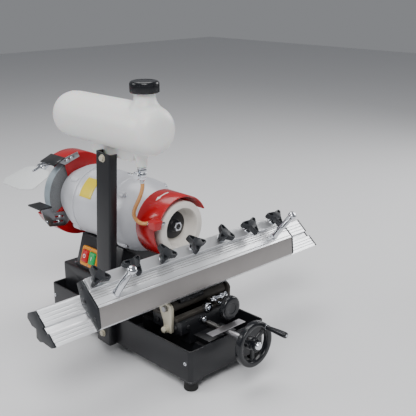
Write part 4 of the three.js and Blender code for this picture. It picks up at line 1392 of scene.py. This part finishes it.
    def post(self) -> None:
        """Builds the bent channel and the bolts through it."""
        place = Matrix.Translation(self.post_foot) @ Matrix.Rotation(math.radians(self.lean), 4, "X")
        inner, outer, near, far, wall = -108.3, -126.7, -16.0, 32.0, 3.6
        outline = [(inner, near + wall), (outer + wall + 1.2, near + wall),
                   (outer + wall, near + wall + 1.2), (outer + wall, far - wall - 1.2),
                   (outer + wall + 1.2, far - wall), (inner, far - wall), (inner, far)]
        for corner in ((far, 90), (near, 180)):
            middle = corner[0] - 4.5 if corner[1] == 90 else corner[0] + 4.5
            outline += [(outer + 4.5 + a, middle + b) for a, b in arc(4.5, corner[1], corner[1] + 90, 6)]
        outline.append((inner, near))
        channel = Sculpt(place).extrude(outline, -23, 412, Axis.Z)
        channel.done("post_channel", BLACK_PAINT, "root", "post", slot="black_paint", edge=0.3, sharp=50)
        for name, z in (("lower", 0.0), ("upper", 401.0)):
            bolt = Sculpt(place).rod((outer + 2, 0, z), (inner - 0.2, 0, z), 6.0, 28)
            bolt.rod((outer - 1.4, 8, z), (outer + 0.2, 8, z), 8.4, 40, 0.4)
            bolt.rod((outer - 5.6, 8, z), (outer - 1.2, 8, z), 6.4, 6, 0.5)
            bolt.done(f"post_bolt_{name}", ZINC, "root", slot="chrome", edge=0.3)

    def build(self) -> None:
        """Builds the coolant system after its hose."""
        self.tank()
        self.cap()
        self.cock()
        self.nozzle()
        self.post()


# ---------------------------------------------------------------- cross-slide


@dataclass
class CrossSlide:
    """Dovetail way, saddle, lead screw and handwheel."""

    screw_z: float = 97.0
    wheel_y: float = -69.0
    rim: float = 41.5
    stud: float = 29.345

    def way(self) -> None:
        """Builds the dovetail way and the front bearing block with its bright strip."""
        dovetail = [(-36, 26.3), (36, 26.3), (36, 64), (28, 64), (40, 84), (-40, 84), (-28, 64), (-36, 64)]
        bore = Sculpt().turn([(0, -30), (6.3, -30), (6.3, 60), (0, 60)], (0, 0, self.screw_z), sides=48)
        way = Sculpt().extrude(dovetail, 17, 236, Axis.Y)
        way.block((-48.5, 4.3, 26.3), (48.5, 18, 92), 1.5, 0.8)
        way.block((-48.5, -2, 91.3), (48.5, 18, 105.2), 2.0, 0.8)
        way.cut(bore).done("slide_casting", BLACK_PAINT, "root", "slide_way", slot="black_paint", edge=0.5)
        strip = Sculpt().block((-48, -1.4, 105.0), (48, 17.4, 106), 1.5, 0.3)
        strip.done("bearing_strip", BRUSHED_STRIP, "root", slot="steel", edge=0)

    def saddle(self) -> None:
        """Builds the saddle with its gib screws."""
        section = [
            (-76, 93.5), (-52, 93.5), (-52, 66), (-29.8, 66), (-41, 84.5), (41, 84.5), (29.8, 66),
            (52, 66), (52, 93.5), (76, 93.5), (76, 121), (-76, 121),
        ]
        bore = Sculpt().turn([(0, 40), (6.6, 40), (6.6, 170), (0, 170)], (0, 0, self.screw_z), sides=48)
        body = Sculpt().extrude(section, 62, 150, Axis.Y).cut(bore)
        body.done("saddle_casting", BLACK_PAINT, "saddle", "saddle", slot="black_paint", edge=1.2)
        seats = [((side * 76, y, 107.0), (side, 0, 0)) for side in (-1, 1) for y in (78.0, 106.0, 134.0)]
        seats += [((x, 62.0, 108.0), (0, -1, 0)) for x in (-58.0, 58.0)]
        screws("gib_screws", "saddle", seats, 4.4, 3.0, BLACK_PAINT)

    def lead_screw(self) -> None:
        """Builds the screw with its real thread, collars and plain front shaft."""
        plain = [(0, -80), (5.2, -80), (6, -79.2), (6, -55), (6.9, -54.4), (7.2, -53.8), (7.2, -2.6),
                 (6, -2.3), (6, 18.3), (8.6, 18.3), (9, 18.7), (9, 21.1), (8.6, 21.5), (5, 21.5), (5, 23),
                 (0, 23)]
        screw = Sculpt().turn(plain, (0, 0, self.screw_z), sides=48)
        pitch, sides, step = 4.0, 24, 0.5
        rings = []
        for row in range(int((224 - 22) / step) + 1):
            y = 22 + row * step
            ring = []
            for i in range(sides):
                phase = (y / pitch - i / sides) % 1.0
                radius = 6.0 - 1.1 * min(max(abs(phase - 0.5) * 4 - 0.5, 0.0), 1.0)
                angle = 2 * math.pi * i / sides
                ring.append((radius * math.cos(angle), y, self.screw_z + radius * math.sin(angle)))
            rings.append(ring)
        screw.shell(rings).paint(lambda middle, normal: middle.y > 22.5, OILED_STEEL)
        screw.done("feed_screw_bar", STEEL, "feed_screw", "lead_screw", slot="steel", edge=0, sharp=45)

    def handwheel(self) -> None:
        """Builds the dished wheel with a deep rim, three spokes, a hub and a plated nut."""
        y, z, rim = self.wheel_y, self.screw_z, self.rim
        corners = [(rim - 5.6, y - 3.4), (rim - 3.4, y - 6.6), (rim + 3.6, y - 7), (rim + 6, y - 4.6),
                   (rim + 6, y + 5), (rim + 4.6, y + 6.6), (rim - 3.4, y + 7), (rim - 6, y + 4.4)]
        wheel = Sculpt().turn(smooth(corners, 3, closed=True), (0, 0, z), sides=120)
        hub = smooth([(6.3, y - 12), (10, y - 12), (11.4, y - 10), (12.4, y - 2), (14, y + 3),
                      (14, y + 12)], 3)
        wheel.turn(hub + [(13.4, y + 13.6), (6.3, y + 14)], (0, 0, z), sides=60)
        for angle in (90, 210, 330):
            turned = Matrix.Rotation(math.radians(angle), 4, "Y")
            rings = []
            for t in range(9):
                s = t / 8
                out = 10 + (rim - 12) * s
                dish = 2.5 + 1.5 * math.sin(math.pi * s)
                half, thick = 6.2 - 2.0 * math.sin(math.pi * s), 3.2
                loop = [(out, y - thick + dish + a, b) for a, b in
                        ((0.0, -half + 1), (1.0, -half), (2 * thick - 1, -half), (2 * thick, -half + 1),
                         (2 * thick, half - 1), (2 * thick - 1, half), (1.0, half), (0.0, half - 1))]
                rings.append([tuple(turned @ Vector(point) + Vector((0, 0, z))) for point in loop])
            wheel.shell(rings)
        wheel.done("handwheel_casting", GLOSS_BLACK, "feed_screw", "handwheel", slot="black_plastic",
                   edge=0.3)
        at = y - 12
        nut = Sculpt().turn([(0, at - 4.6), (3.6, at - 4.6), (6.8, at - 3.8), (8.4, at - 1.6),
                             (8.8, at + 0.4), (0, at + 0.4)],
                            (0, 0, z), sides=48)
        nut.done("handwheel_nut", CHROME, "feed_screw", slot="chrome", edge=0)

    def grip(self) -> None:
        """Builds the revolving grip on its plated stud."""
        place = (self.stud, 0.0, self.screw_z + self.stud)
        end = self.wheel_y - 60
        rod = [(0, end), (2.0, end), (2.6, end + 0.6), (2.6, self.wheel_y), (0, self.wheel_y)]
        stud = Sculpt().turn(rod, place, sides=32)
        front = self.wheel_y - 7
        stud.turn([(0, front - 1.8), (5.4, front - 1.8), (5.4, front + 0.6), (0, front + 0.6)], place,
                  sides=40)
        stud.done("grip_stud", CHROME, "feed_screw", slot="chrome", edge=0.2)
        profile = smooth([(4.6, -59), (5.8, -58), (6.4, -55.5), (6.2, -44), (5.5, -30), (4.8, -18),
                          (4.7, -14), (5.4, -11), (5.2, -9.2)], 4)
        profile = [(3.0, -59)] + profile + [(3.0, -9.2)]
        handle = Sculpt().turn([(r, self.wheel_y + along) for r, along in profile], place, sides=56)
        handle.done("grip_barrel", GLOSS_BLACK, "grip", "handwheel_grip", slot="black_plastic", edge=0.3)

    def build(self) -> None:
        """Builds the cross-slide."""
        self.way()
        self.saddle()
        self.lead_screw()
        self.handwheel()
        self.grip()


# ---------------------------------------------------------------- tilting rail and carriage


@dataclass
class Slope:
    """Frame of the rail: local X along the rail, Y up the slope, Z its normal."""

    degrees: float = 40.0
    foot_y: float = 75.3
    foot_z: float = 169.0

    def place(self, x: float = 0.0) -> Matrix:
        """Returns the local frame moved along the rail by x."""
        turned = Matrix.Rotation(math.radians(self.degrees), 4, "X")
        return Matrix.Translation((x, self.foot_y, self.foot_z)) @ turned


def grooved(line: Sequence[Flat], grooves: Sequence[float], depth: float = 0.9,
            half: float = 0.7) -> list[Flat]:
    """Cuts V grooves into the top of an outline.

    Args:
        line: Points of a run at one height, from low to high first coordinate.
        grooves: The grooves' places.
        depth: Their depth.
        half: Half their width.

    Returns:
        The run with its grooves.
    """
    made = [line[0]]
    height = line[0][1]
    for at in grooves:
        made += [(at - half, height), (at, height - depth), (at + half, height)]
    made.append(line[1])
    return made


@dataclass
class TiltUnit:
    """Bracket, pin, lock knob and the table that carries the rail."""

    slope: Slope
    pin_y: float = 98.0
    pin_z: float = 146.0
    pin_half: float = 92.0
    lock_x: float = 28.0
    lock_y: float = 79.0
    lock_z: float = 135.0
    lock_ribs: int = 40
    bar_y: float = 64.0
    bar_z: float = 145.5
    cheek_thickness: float = 7.5
    bolt_y: float = 97.0
    bolt_z: float = 101.0
    hub_half: float = 74.0
    web_half: float = 70.0

    def bracket(self) -> None:
        """Builds the cheeks, the left one pale and the right one darkened as painted shade, the tan body
        between them and their bolts.
        """
        cheek = [(83, 94), (100, 94), (103, 97), (107, 118), (117, 140), (117, 148), (113, 154),
                 (107, 158), (89, 158), (83, 154), (80, 148), (81, 97)]
        hole = Sculpt().turn([(0, -120), (6.3, -120), (6.3, 120), (0, 120)], (0, self.pin_y, self.pin_z),
                             Axis.X, 40)
        for name, x in (("left", -86.0), ("right", 78.5)):
            plate = Sculpt().extrude(cheek, x, x + self.cheek_thickness, Axis.X)
            if name == "left":
                plate.cut(hole)
            # The right cheek is the same pale casting, darkened as painted shade for the shadow behind the
            # knob.
            look = ZINC if name == "left" else TAN_CAST_AND_SHADE
            plate.done(f"tilt_cheek_{name}", look, "saddle", slot="zinc_cast", edge=1.0)
        knob_hole = Sculpt().turn([(0, 60), (5.3, 60), (5.3, 90), (0, 90)], (self.lock_x, 0, self.lock_z),
                                  sides=36)
        body = Sculpt().block((-79, 70, 121.3), (79, 148, 129), 2.0, 0.8)
        body.block((-79, 70, 121.6), (79, 76, 147), 1.5, 0.8)
        body.block((-80, 82, 121.6), (80, 106, 129), 2.0, 0.8)
        body.cut(knob_hole)
        body.done("tilt_body", TAN_CAST_AND_SHADE, "saddle", "tilt_bracket", slot="zinc_cast", edge=0.4)
        bolts = Sculpt()
        for side in (-1, 1):
            for near, far, radius, sides, edge in ((85.6, 88.0, 8.4, 40, 0.4), (87.6, 95.0, 7.0, 6, 0.8)):
                start, end = ((side * x, self.bolt_y, self.bolt_z) for x in (near, far))
                bolts.rod(start, end, radius, sides, edge)
        bolts.done("cheek_bolts", ZINC, "saddle", slot="zinc_cast", edge=0.3)

    def plated_parts(self) -> None:
        """Builds the bright adjusting screws on the front of the bracket and the saddle."""
        barrel = Sculpt().turn([(4.6, 58), (9.0, 58), (9.6, 58.8), (9.6, 69), (9.0, 70), (4.6, 70)],
                               (0.4, 0, 133.2), sides=56)
        barrel.turn([(0, 63), (4.7, 63), (4.7, 70), (0, 70)], (0.4, 0, 133.2), sides=40)
        y, z = self.bar_y, self.bar_z
        bar = Sculpt().rod((10, y, z), (57, y, z), 3.6, 32)
        for x, radius in ((16.0, 6.2), (37.0, 6.4), (49.0, 5.6)):
            bar.rod((x, y, z), (x + 7, y, z), radius, 40, 0.8)
        for x in (19.5, 52.5):
            bar.rod((x, y, z), (x, 71, 143.0), 3.0, 24)
        bar.done("lock_bar", CHROME, "saddle", slot="chrome", edge=0)
        barrel.done("stop_barrel", CHROME, "saddle", slot="chrome", edge=0.2)
        seats = [((-16.9, 59.4, 113.4), (0, -1, 0))]
        screws("stop_screw", "saddle", seats, 6.2, 6.0)
        washer = Sculpt().turn([(0, 59.6), (9.2, 59.6), (9.8, 60.2), (9.8, 62), (0, 62)],
                               (-16.9, 0, 111.4), sides=48)
        washer.done("stop_washer", GLOSS_BLACK, "saddle", slot="black_plastic", edge=0)

    def pin(self) -> None:
        """Builds the pivot pin."""
        start, end = ((x, self.pin_y, self.pin_z) for x in (-self.pin_half, self.pin_half))
        pin = Sculpt().rod(start, end, 6.0, 48, 0.8)
        pin.done("pivot_pin", STEEL, "saddle", "tilt_pin", slot="steel", edge=0)

    def lock_knob(self) -> None:
        """Builds the round lock knob with its ribbed grip and bright stem."""
        place = (self.lock_x, self.lock_y, self.lock_z)
        profile = [
            (0, -59.4), (11, -59.4), (12, -60.4), (19.5, -61), (23, -60.2), (25, -58), (25.6, -54),
            (25.6, -48.6), (24.6, -47), (11, -46), (9, -44), (0, -44),
        ]
        Sculpt().turn(profile, place, sides=72).done(
            "lock_knob_grip", GLOSS_BLACK, "lock_knob", "tilt_lock_knob", slot="black_plastic", edge=0.3)
        ring = Matrix.Translation((self.lock_x, self.lock_y - 53.2, self.lock_z))
        ring = ring @ Matrix.Rotation(math.pi / 2, 4, "X")
        ribs("lock_knob_ribs", "lock_knob", ring, self.lock_ribs, 25.3, 8.6, 1.4, GLOSS_BLACK)
        stem = Sculpt().turn([(0, -45), (7.4, -45), (7.4, -36), (5, -34.5), (5, 4), (0, 4)], place,
                             sides=40)
        stem.done("lock_knob_stem", CHROME, "lock_knob", slot="chrome", edge=0.3)

    def table(self) -> None:
        """Builds the hub and web that hold the rail, with the rail's clamp bar."""
        angle = math.radians(self.slope.degrees)
        dy, dz = self.pin_y - self.slope.foot_y, self.pin_z - self.slope.foot_z
        u = dy * math.cos(angle) + dz * math.sin(angle)
        w = dz * math.cos(angle) - dy * math.sin(angle)
        bore = Sculpt(self.slope.place())
        bore.turn([(0, -120), (6.4, -120), (6.4, 120), (0, 120)], (0, u, w), Axis.X, 40)
        space = Sculpt(self.slope.place()).extrude(
            [(-10, 20), (-10, -11.4), (5, -11.4), (27, -27.4), (34, -37.4), (45, -40.4), (56, -26.4),
             (68, -34.4), (90, -34.4), (90, 20)], -200, 200, Axis.X)
        hub = Sculpt(self.slope.place())
        half = self.hub_half
        round_bar = [(0, -half), (12.4, -half), (13, 0.6 - half), (13, half - 0.6), (12.4, half),
                     (0, half)]
        hub.turn(round_bar, (0, u, w), Axis.X, 64)
        hub.cut(bore, space).done("tilt_hub", TAN_CAST_AND_SHADE, "rail", slot="black_paint", edge=0.3)
        clamp = Sculpt(self.slope.place())
        clamp.rod((-60, 0.5, -13.6), (5, 0.5, -13.6), 5.0, 40, 0.8)
        for x in (-60.0, -38.0, -3.0):
            clamp.rod((x, 0.5, -13.6), (x + 8, 0.5, -13.6), 5.6, 40, 0.8)
        clamp.done("rail_clamp_bar", BLACK_PAINT, "rail", slot="black_paint", edge=0)
        web = [(u - 3, w - 6), (u + 4, w - 12), (40, -52), (64, -46), (64, -20), (u, -20)]
        Sculpt(self.slope.place()).extrude(web, -self.web_half, self.web_half, Axis.X).cut(bore,
                                                                                           space).done(
            "tilt_web", BLACK_PAINT, "rail", "tilt_table", slot="black_paint", edge=0.8)

    def build(self) -> None:
        """Builds the tilting unit."""
        self.bracket()
        self.plated_parts()
        self.pin()
        self.lock_knob()
        self.table()


@dataclass
class BladeTable:
    """Extruded rail with the sliding blade carriage and its clamp."""

    slope: Slope
    rail_x: float = 9.0
    rail_length: float = 746.0
    carriage_x: float = 6.5
    carriage_length: float = 557.0
    plate: float = 5.0
    gap: float = 0.3
    top: float = 38.7
    knob_shift: float = -5.5
    knob_pitch: float = 83.0
    knob_climb: float = 78.5
    knob_turns: tuple[float, ...] = (94, 35, 96, 114, 78, 36, 30)
    arm_droop: float = 0.006
    pin_climb: float = 44.0
    pin_reach: float = 225.0

    def rail(self) -> None:
        """Builds the rail with its groove and drawn lines, and its end caps."""
        under = [(91, -25), (86, -34), (68, -34), (56, -26), (45, -40), (34, -37), (27, -27), (5, -11)]
        front = grooved([(0, 0), (30, 0)], (8, 15, 22))
        rear = grooved([(44, 0), (79, 0)], (52, 60, 68))
        section = front + [(30, -6), (44, -6)] + rear + under
        plain = [(0, 0), (30, 0), (30, -6), (44, -6), (44, 0), (79, 0)] + under
        half = self.rail_length / 2
        place = self.slope.place(self.rail_x)
        reach = half - self.plate - self.gap
        Sculpt(place).extrude(section, -reach, reach).done(
            "rail_extrusion", ALUMINIUM, "rail", "rail", slot="aluminium", edge=0.35)
        for side, name in ((-1, "left"), (1, "right")):
            x0, x1 = sorted((side * (half - self.plate), side * half))
            node = f"rail_end_{name}"
            Sculpt(place).extrude(plain, x0, x1).done(
                node + "_cap", BLACK_PLASTIC, "rail", node, slot="black_plastic", edge=0.8)
            seats = [((side * (half - 1.6), u, w), (side, 0, 0)) for u, w in ((16.0, -8.0), (72.0, -20.0))]
            screws(node + "_screws", "rail", seats, 3.0, 1.3, BLACK_PAINT, place)

    def outline(self, lines: bool) -> list[Flat]:
        """Returns the carriage's outline, with drawn lines in its top if asked."""
        top = [(91.0, self.top), (27.5, self.top)]
        if lines:
            run = grooved([(27.5, self.top), (91, self.top)], (33, 47, 52, 57, 62), 0.7, 0.6)
            top = list(reversed(run))
        return [(0, 0.5), (59.6, 0.5), (95.4, 22.3)] + top + [(-1, 10.6)]

    def carriage(self) -> None:
        """Builds the carriage with its key, its end plates and the clamp bar."""
        half = self.carriage_length / 2
        core = half - self.plate - self.gap
        place = self.slope.place(self.carriage_x)
        shape = self.outline(True)
        section = [shape[0], (30.4, 0.5), (30.4, -5.4), (43.6, -5.4), (43.6, 0.5)] + shape[1:]
        body = Sculpt(place).extrude(section, -core, core)
        # The front faces get a darker brownish grey, a painted reflection of dark surroundings.
        body.paint(lambda middle, normal: normal.y < -0.5 and middle.z > 8, FRONT_REFLECTION)
        body.done("carriage_extrusion", ALUMINIUM, "carriage", "carriage", slot="aluminium", edge=0.5)
        for side, name in ((-1, "left"), (1, "right")):
            x0, x1 = sorted((side * (half - self.plate), side * half))
            node = f"carriage_end_{name}"
            Sculpt(place).extrude(self.outline(False), x0, x1).done(
                node + "_plate", BLACK_PLASTIC, "carriage", node, slot="black_plastic", edge=0.8)
            seats = [((side * half, u, w), (side, 0, 0))
                     for u, w in ((18.0, 16.0), (58.0, 14.0), (80.0, 28.0))]
            screws(node + "_screws", "carriage", seats, 3.2, 1.2, BLACK_PAINT, place)
        seat = self.top + self.gap
        bar = Sculpt(place).block((-core, 65, seat), (core, 90, seat + 6), 2.0, 0.8)
        bar.done("clamp_strip", ALUMINIUM, "carriage", "clamp_bar", slot="aluminium", edge=0)

    def lobes(self) -> list[Flat]:
        """Returns the outline of the three tapering lobes."""
        reach, tip, root, waist = 24.0, 4.2, 8.4, 10.2
        marks = []
        for i in range(3):
            spin = Matrix.Rotation(math.radians(120.0 * i), 2)
            lobe = [(8.0, -root)] + [(reach - tip + a, b) for a, b in arc(tip, -75, 75, 8)] + [(8.0, root)]
            marks.extend(tuple(spin @ Vector(point)) for point in lobe)
            between = math.radians(120.0 * i + 60)
            marks.append((waist * math.cos(between), waist * math.sin(between)))
        return marks

    def knobs(self) -> None:
        """Builds the seven clamp knobs with their skirts, pocketed lobes and bright washers."""
        seat = self.top + 2 * self.gap + 6
        for i, turned in enumerate(self.knob_turns):
            x = self.carriage_x + self.knob_shift + (i - 3) * self.knob_pitch
            place = self.slope.place() @ Matrix.Translation((x, self.knob_climb, seat))
            place = place @ Matrix.Rotation(math.radians(turned), 4, "Z")
            name = f"clamp_knob_{i + 1}"
            head = Sculpt(place)
            ends = self.lobes()
            levels = ((0.93, 10.0), (0.985, 11.4), (1.0, 13.0), (1.0, 22.0), (0.975, 23.4), (0.92, 24.0))
            head.shell([[(a * s, b * s, z - self.arm_droop * (a * a + b * b)) for a, b in ends]
                        for s, z in levels])
            head.turn([(0, 1.6), (6.6, 1.6), (7.5, 2.6), (7.5, 8), (10.5, 11), (0, 12)], axis=Axis.Z,
                      sides=40)
            head.turn([(0, 18), (9.4, 18), (8.2, 23.4), (7.4, 24), (0, 24)], axis=Axis.Z, sides=40)
            pockets = Sculpt(place)
            for lobe in range(3):
                spin = Matrix.Rotation(math.radians(120 * lobe), 2)
                corners = ((10.4, -4.2), (19.0, -2.2), (20.6, 0), (19.0, 2.2), (10.4, 4.2))
                pockets.extrude([tuple(spin @ Vector(c)) for c in corners], 16.0, 30, Axis.Z)
            head.cut(pockets)
            head.done(name + "_head", BLACK_PLASTIC, name, name, slot="black_plastic", edge=0.5)
            bright = Sculpt(place).turn([(0, 0), (9.0, 0), (9.4, 0.4), (9.4, 1.3), (9.0, 1.7), (0, 1.7)],
                                        axis=Axis.Z, sides=48)
            bright.done(name + "_washer", CHROME, name, slot="chrome", edge=0)

    def pins(self) -> None:
        """Builds the two push pins with domed heads."""
        seat = self.top + self.gap
        profile = [
            (0, 0), (7.9, 0), (8.4, 0.6), (8.4, 3.6), (7.9, 4.4), (7, 5), (7, 73), (7.6, 74.6),
            (8.9, 76.4), (9.2, 78), (9.2, 82), (8.8, 83.6), (7.4, 85.4), (5, 86.6), (2.4, 86.95), (0, 87),
        ]
        for x, side in ((-self.pin_reach, "left"), (self.pin_reach, "right")):
            place = self.slope.place(self.carriage_x + x)
            pin = Sculpt(place).turn(profile, (0, self.pin_climb, seat), Axis.Z, 48)
            pin.done(f"push_pin_{side}_bar", CHROME, "carriage", f"push_pin_{side}", slot="chrome", edge=0,
                     sharp=60)

    def build(self) -> None:
        """Builds the rail, carriage, knobs and pins."""
        self.rail()
        self.carriage()
        self.knobs()
        self.pins()


# ---------------------------------------------------------------- studio


@dataclass
class Studio:
    """Camera, floor and soft lights."""

    azimuth: float = -44.0
    elevation: float = 17.6
    roll: float = -0.2
    eye: Point = (-982.3, -956.6, 800.0)
    lens: float = 64.04

    def camera(self) -> None:
        """Places the camera and makes it the scene's."""
        data = bpy.data.cameras.new("camera")
        data.lens, data.sensor_width = self.lens, 36.0
        data.clip_start, data.clip_end = 0.05, 50.0
        camera = bpy.data.objects.new("camera", data)
        bpy.context.scene.collection.objects.link(camera)
        a, e = math.radians(self.azimuth), math.radians(self.elevation)
        back = Vector((math.sin(a) * math.cos(e), -math.cos(a) * math.cos(e), math.sin(e)))
        turned = (-back).to_track_quat("-Z", "Y").to_matrix().to_4x4()
        roll = Matrix.Rotation(math.radians(self.roll), 4, "Z")
        camera.matrix_world = Matrix.Translation(TO_ROW @ Vector(self.eye)) @ turned @ roll
        bpy.context.scene.camera = camera

    def floor(self) -> None:
        """Lays a flat pale floor."""
        reach = 6.0
        mesh = bpy.data.meshes.new("floor")
        mesh.from_pydata([(-reach, -reach, 0), (reach, -reach, 0), (reach, reach, 0), (-reach, reach, 0)],
                         [], [(0, 1, 2, 3)])
        floor = bpy.data.objects.new("floor", mesh)
        bpy.context.scene.collection.objects.link(floor)
        pale = Finish("pale_floor", (0.74, 0.74, 0.75), 0.7, scale=40, depth=0.05, mottle=0.01)
        mesh.materials.append(pale.material())

    def lamp(self, name: str, place: Point, aim: Point, size: float, power: float) -> None:
        """Hangs a square soft light.

        Args:
            name: Its name.
            place: Where it hangs, in metres.
            aim: What it points at, in metres.
            size: Its side in metres.
            power: Its power in watts.
        """
        data = bpy.data.lights.new(name, "AREA")
        data.size, data.energy = size, power
        lamp = bpy.data.objects.new(name, data)
        lamp.location = place
        lamp.rotation_euler = (Vector(aim) - Vector(place)).to_track_quat("-Z", "Y").to_euler()
        bpy.context.scene.collection.objects.link(lamp)

    def build(self) -> None:
        """Builds the floor, the lights and the sky."""
        self.floor()
        middle = (0.0, 0.0, 0.25)
        self.lamp("key", (-1.3, -1.5, 2.3), middle, 1.3, 62)
        self.lamp("top", (0.3, 0.5, 2.6), middle, 1.8, 44)
        self.lamp("side", (2.2, -0.4, 1.2), middle, 1.0, 20)
        self.lamp("rim", (-2.0, 1.6, 1.5), middle, 1.0, 24)
        world = bpy.data.worlds.new("sky")
        world.use_nodes = True
        world.node_tree.nodes["Background"].inputs[0].default_value = (0.78, 0.8, 0.84, 1.0)
        world.node_tree.nodes["Background"].inputs[1].default_value = 0.3
        bpy.context.scene.world = world


def main() -> None:
    """Builds the sharpener piece by piece."""
    logging.basicConfig(level=logging.INFO, format="%(name)s %(message)s")
    studio = Studio()
    studio.camera()
    coolant = Coolant()
    coolant.hose()
    slope = Slope()
    for assembly in (Base(), Switch(), Motor(), CupHead(), RearHead(), coolant, CrossSlide(),
                     TiltUnit(slope), BladeTable(slope), studio):
        LOG.info("building %s", type(assembly).__name__)
        assembly.build()


if __name__ == "__main__":
    main()
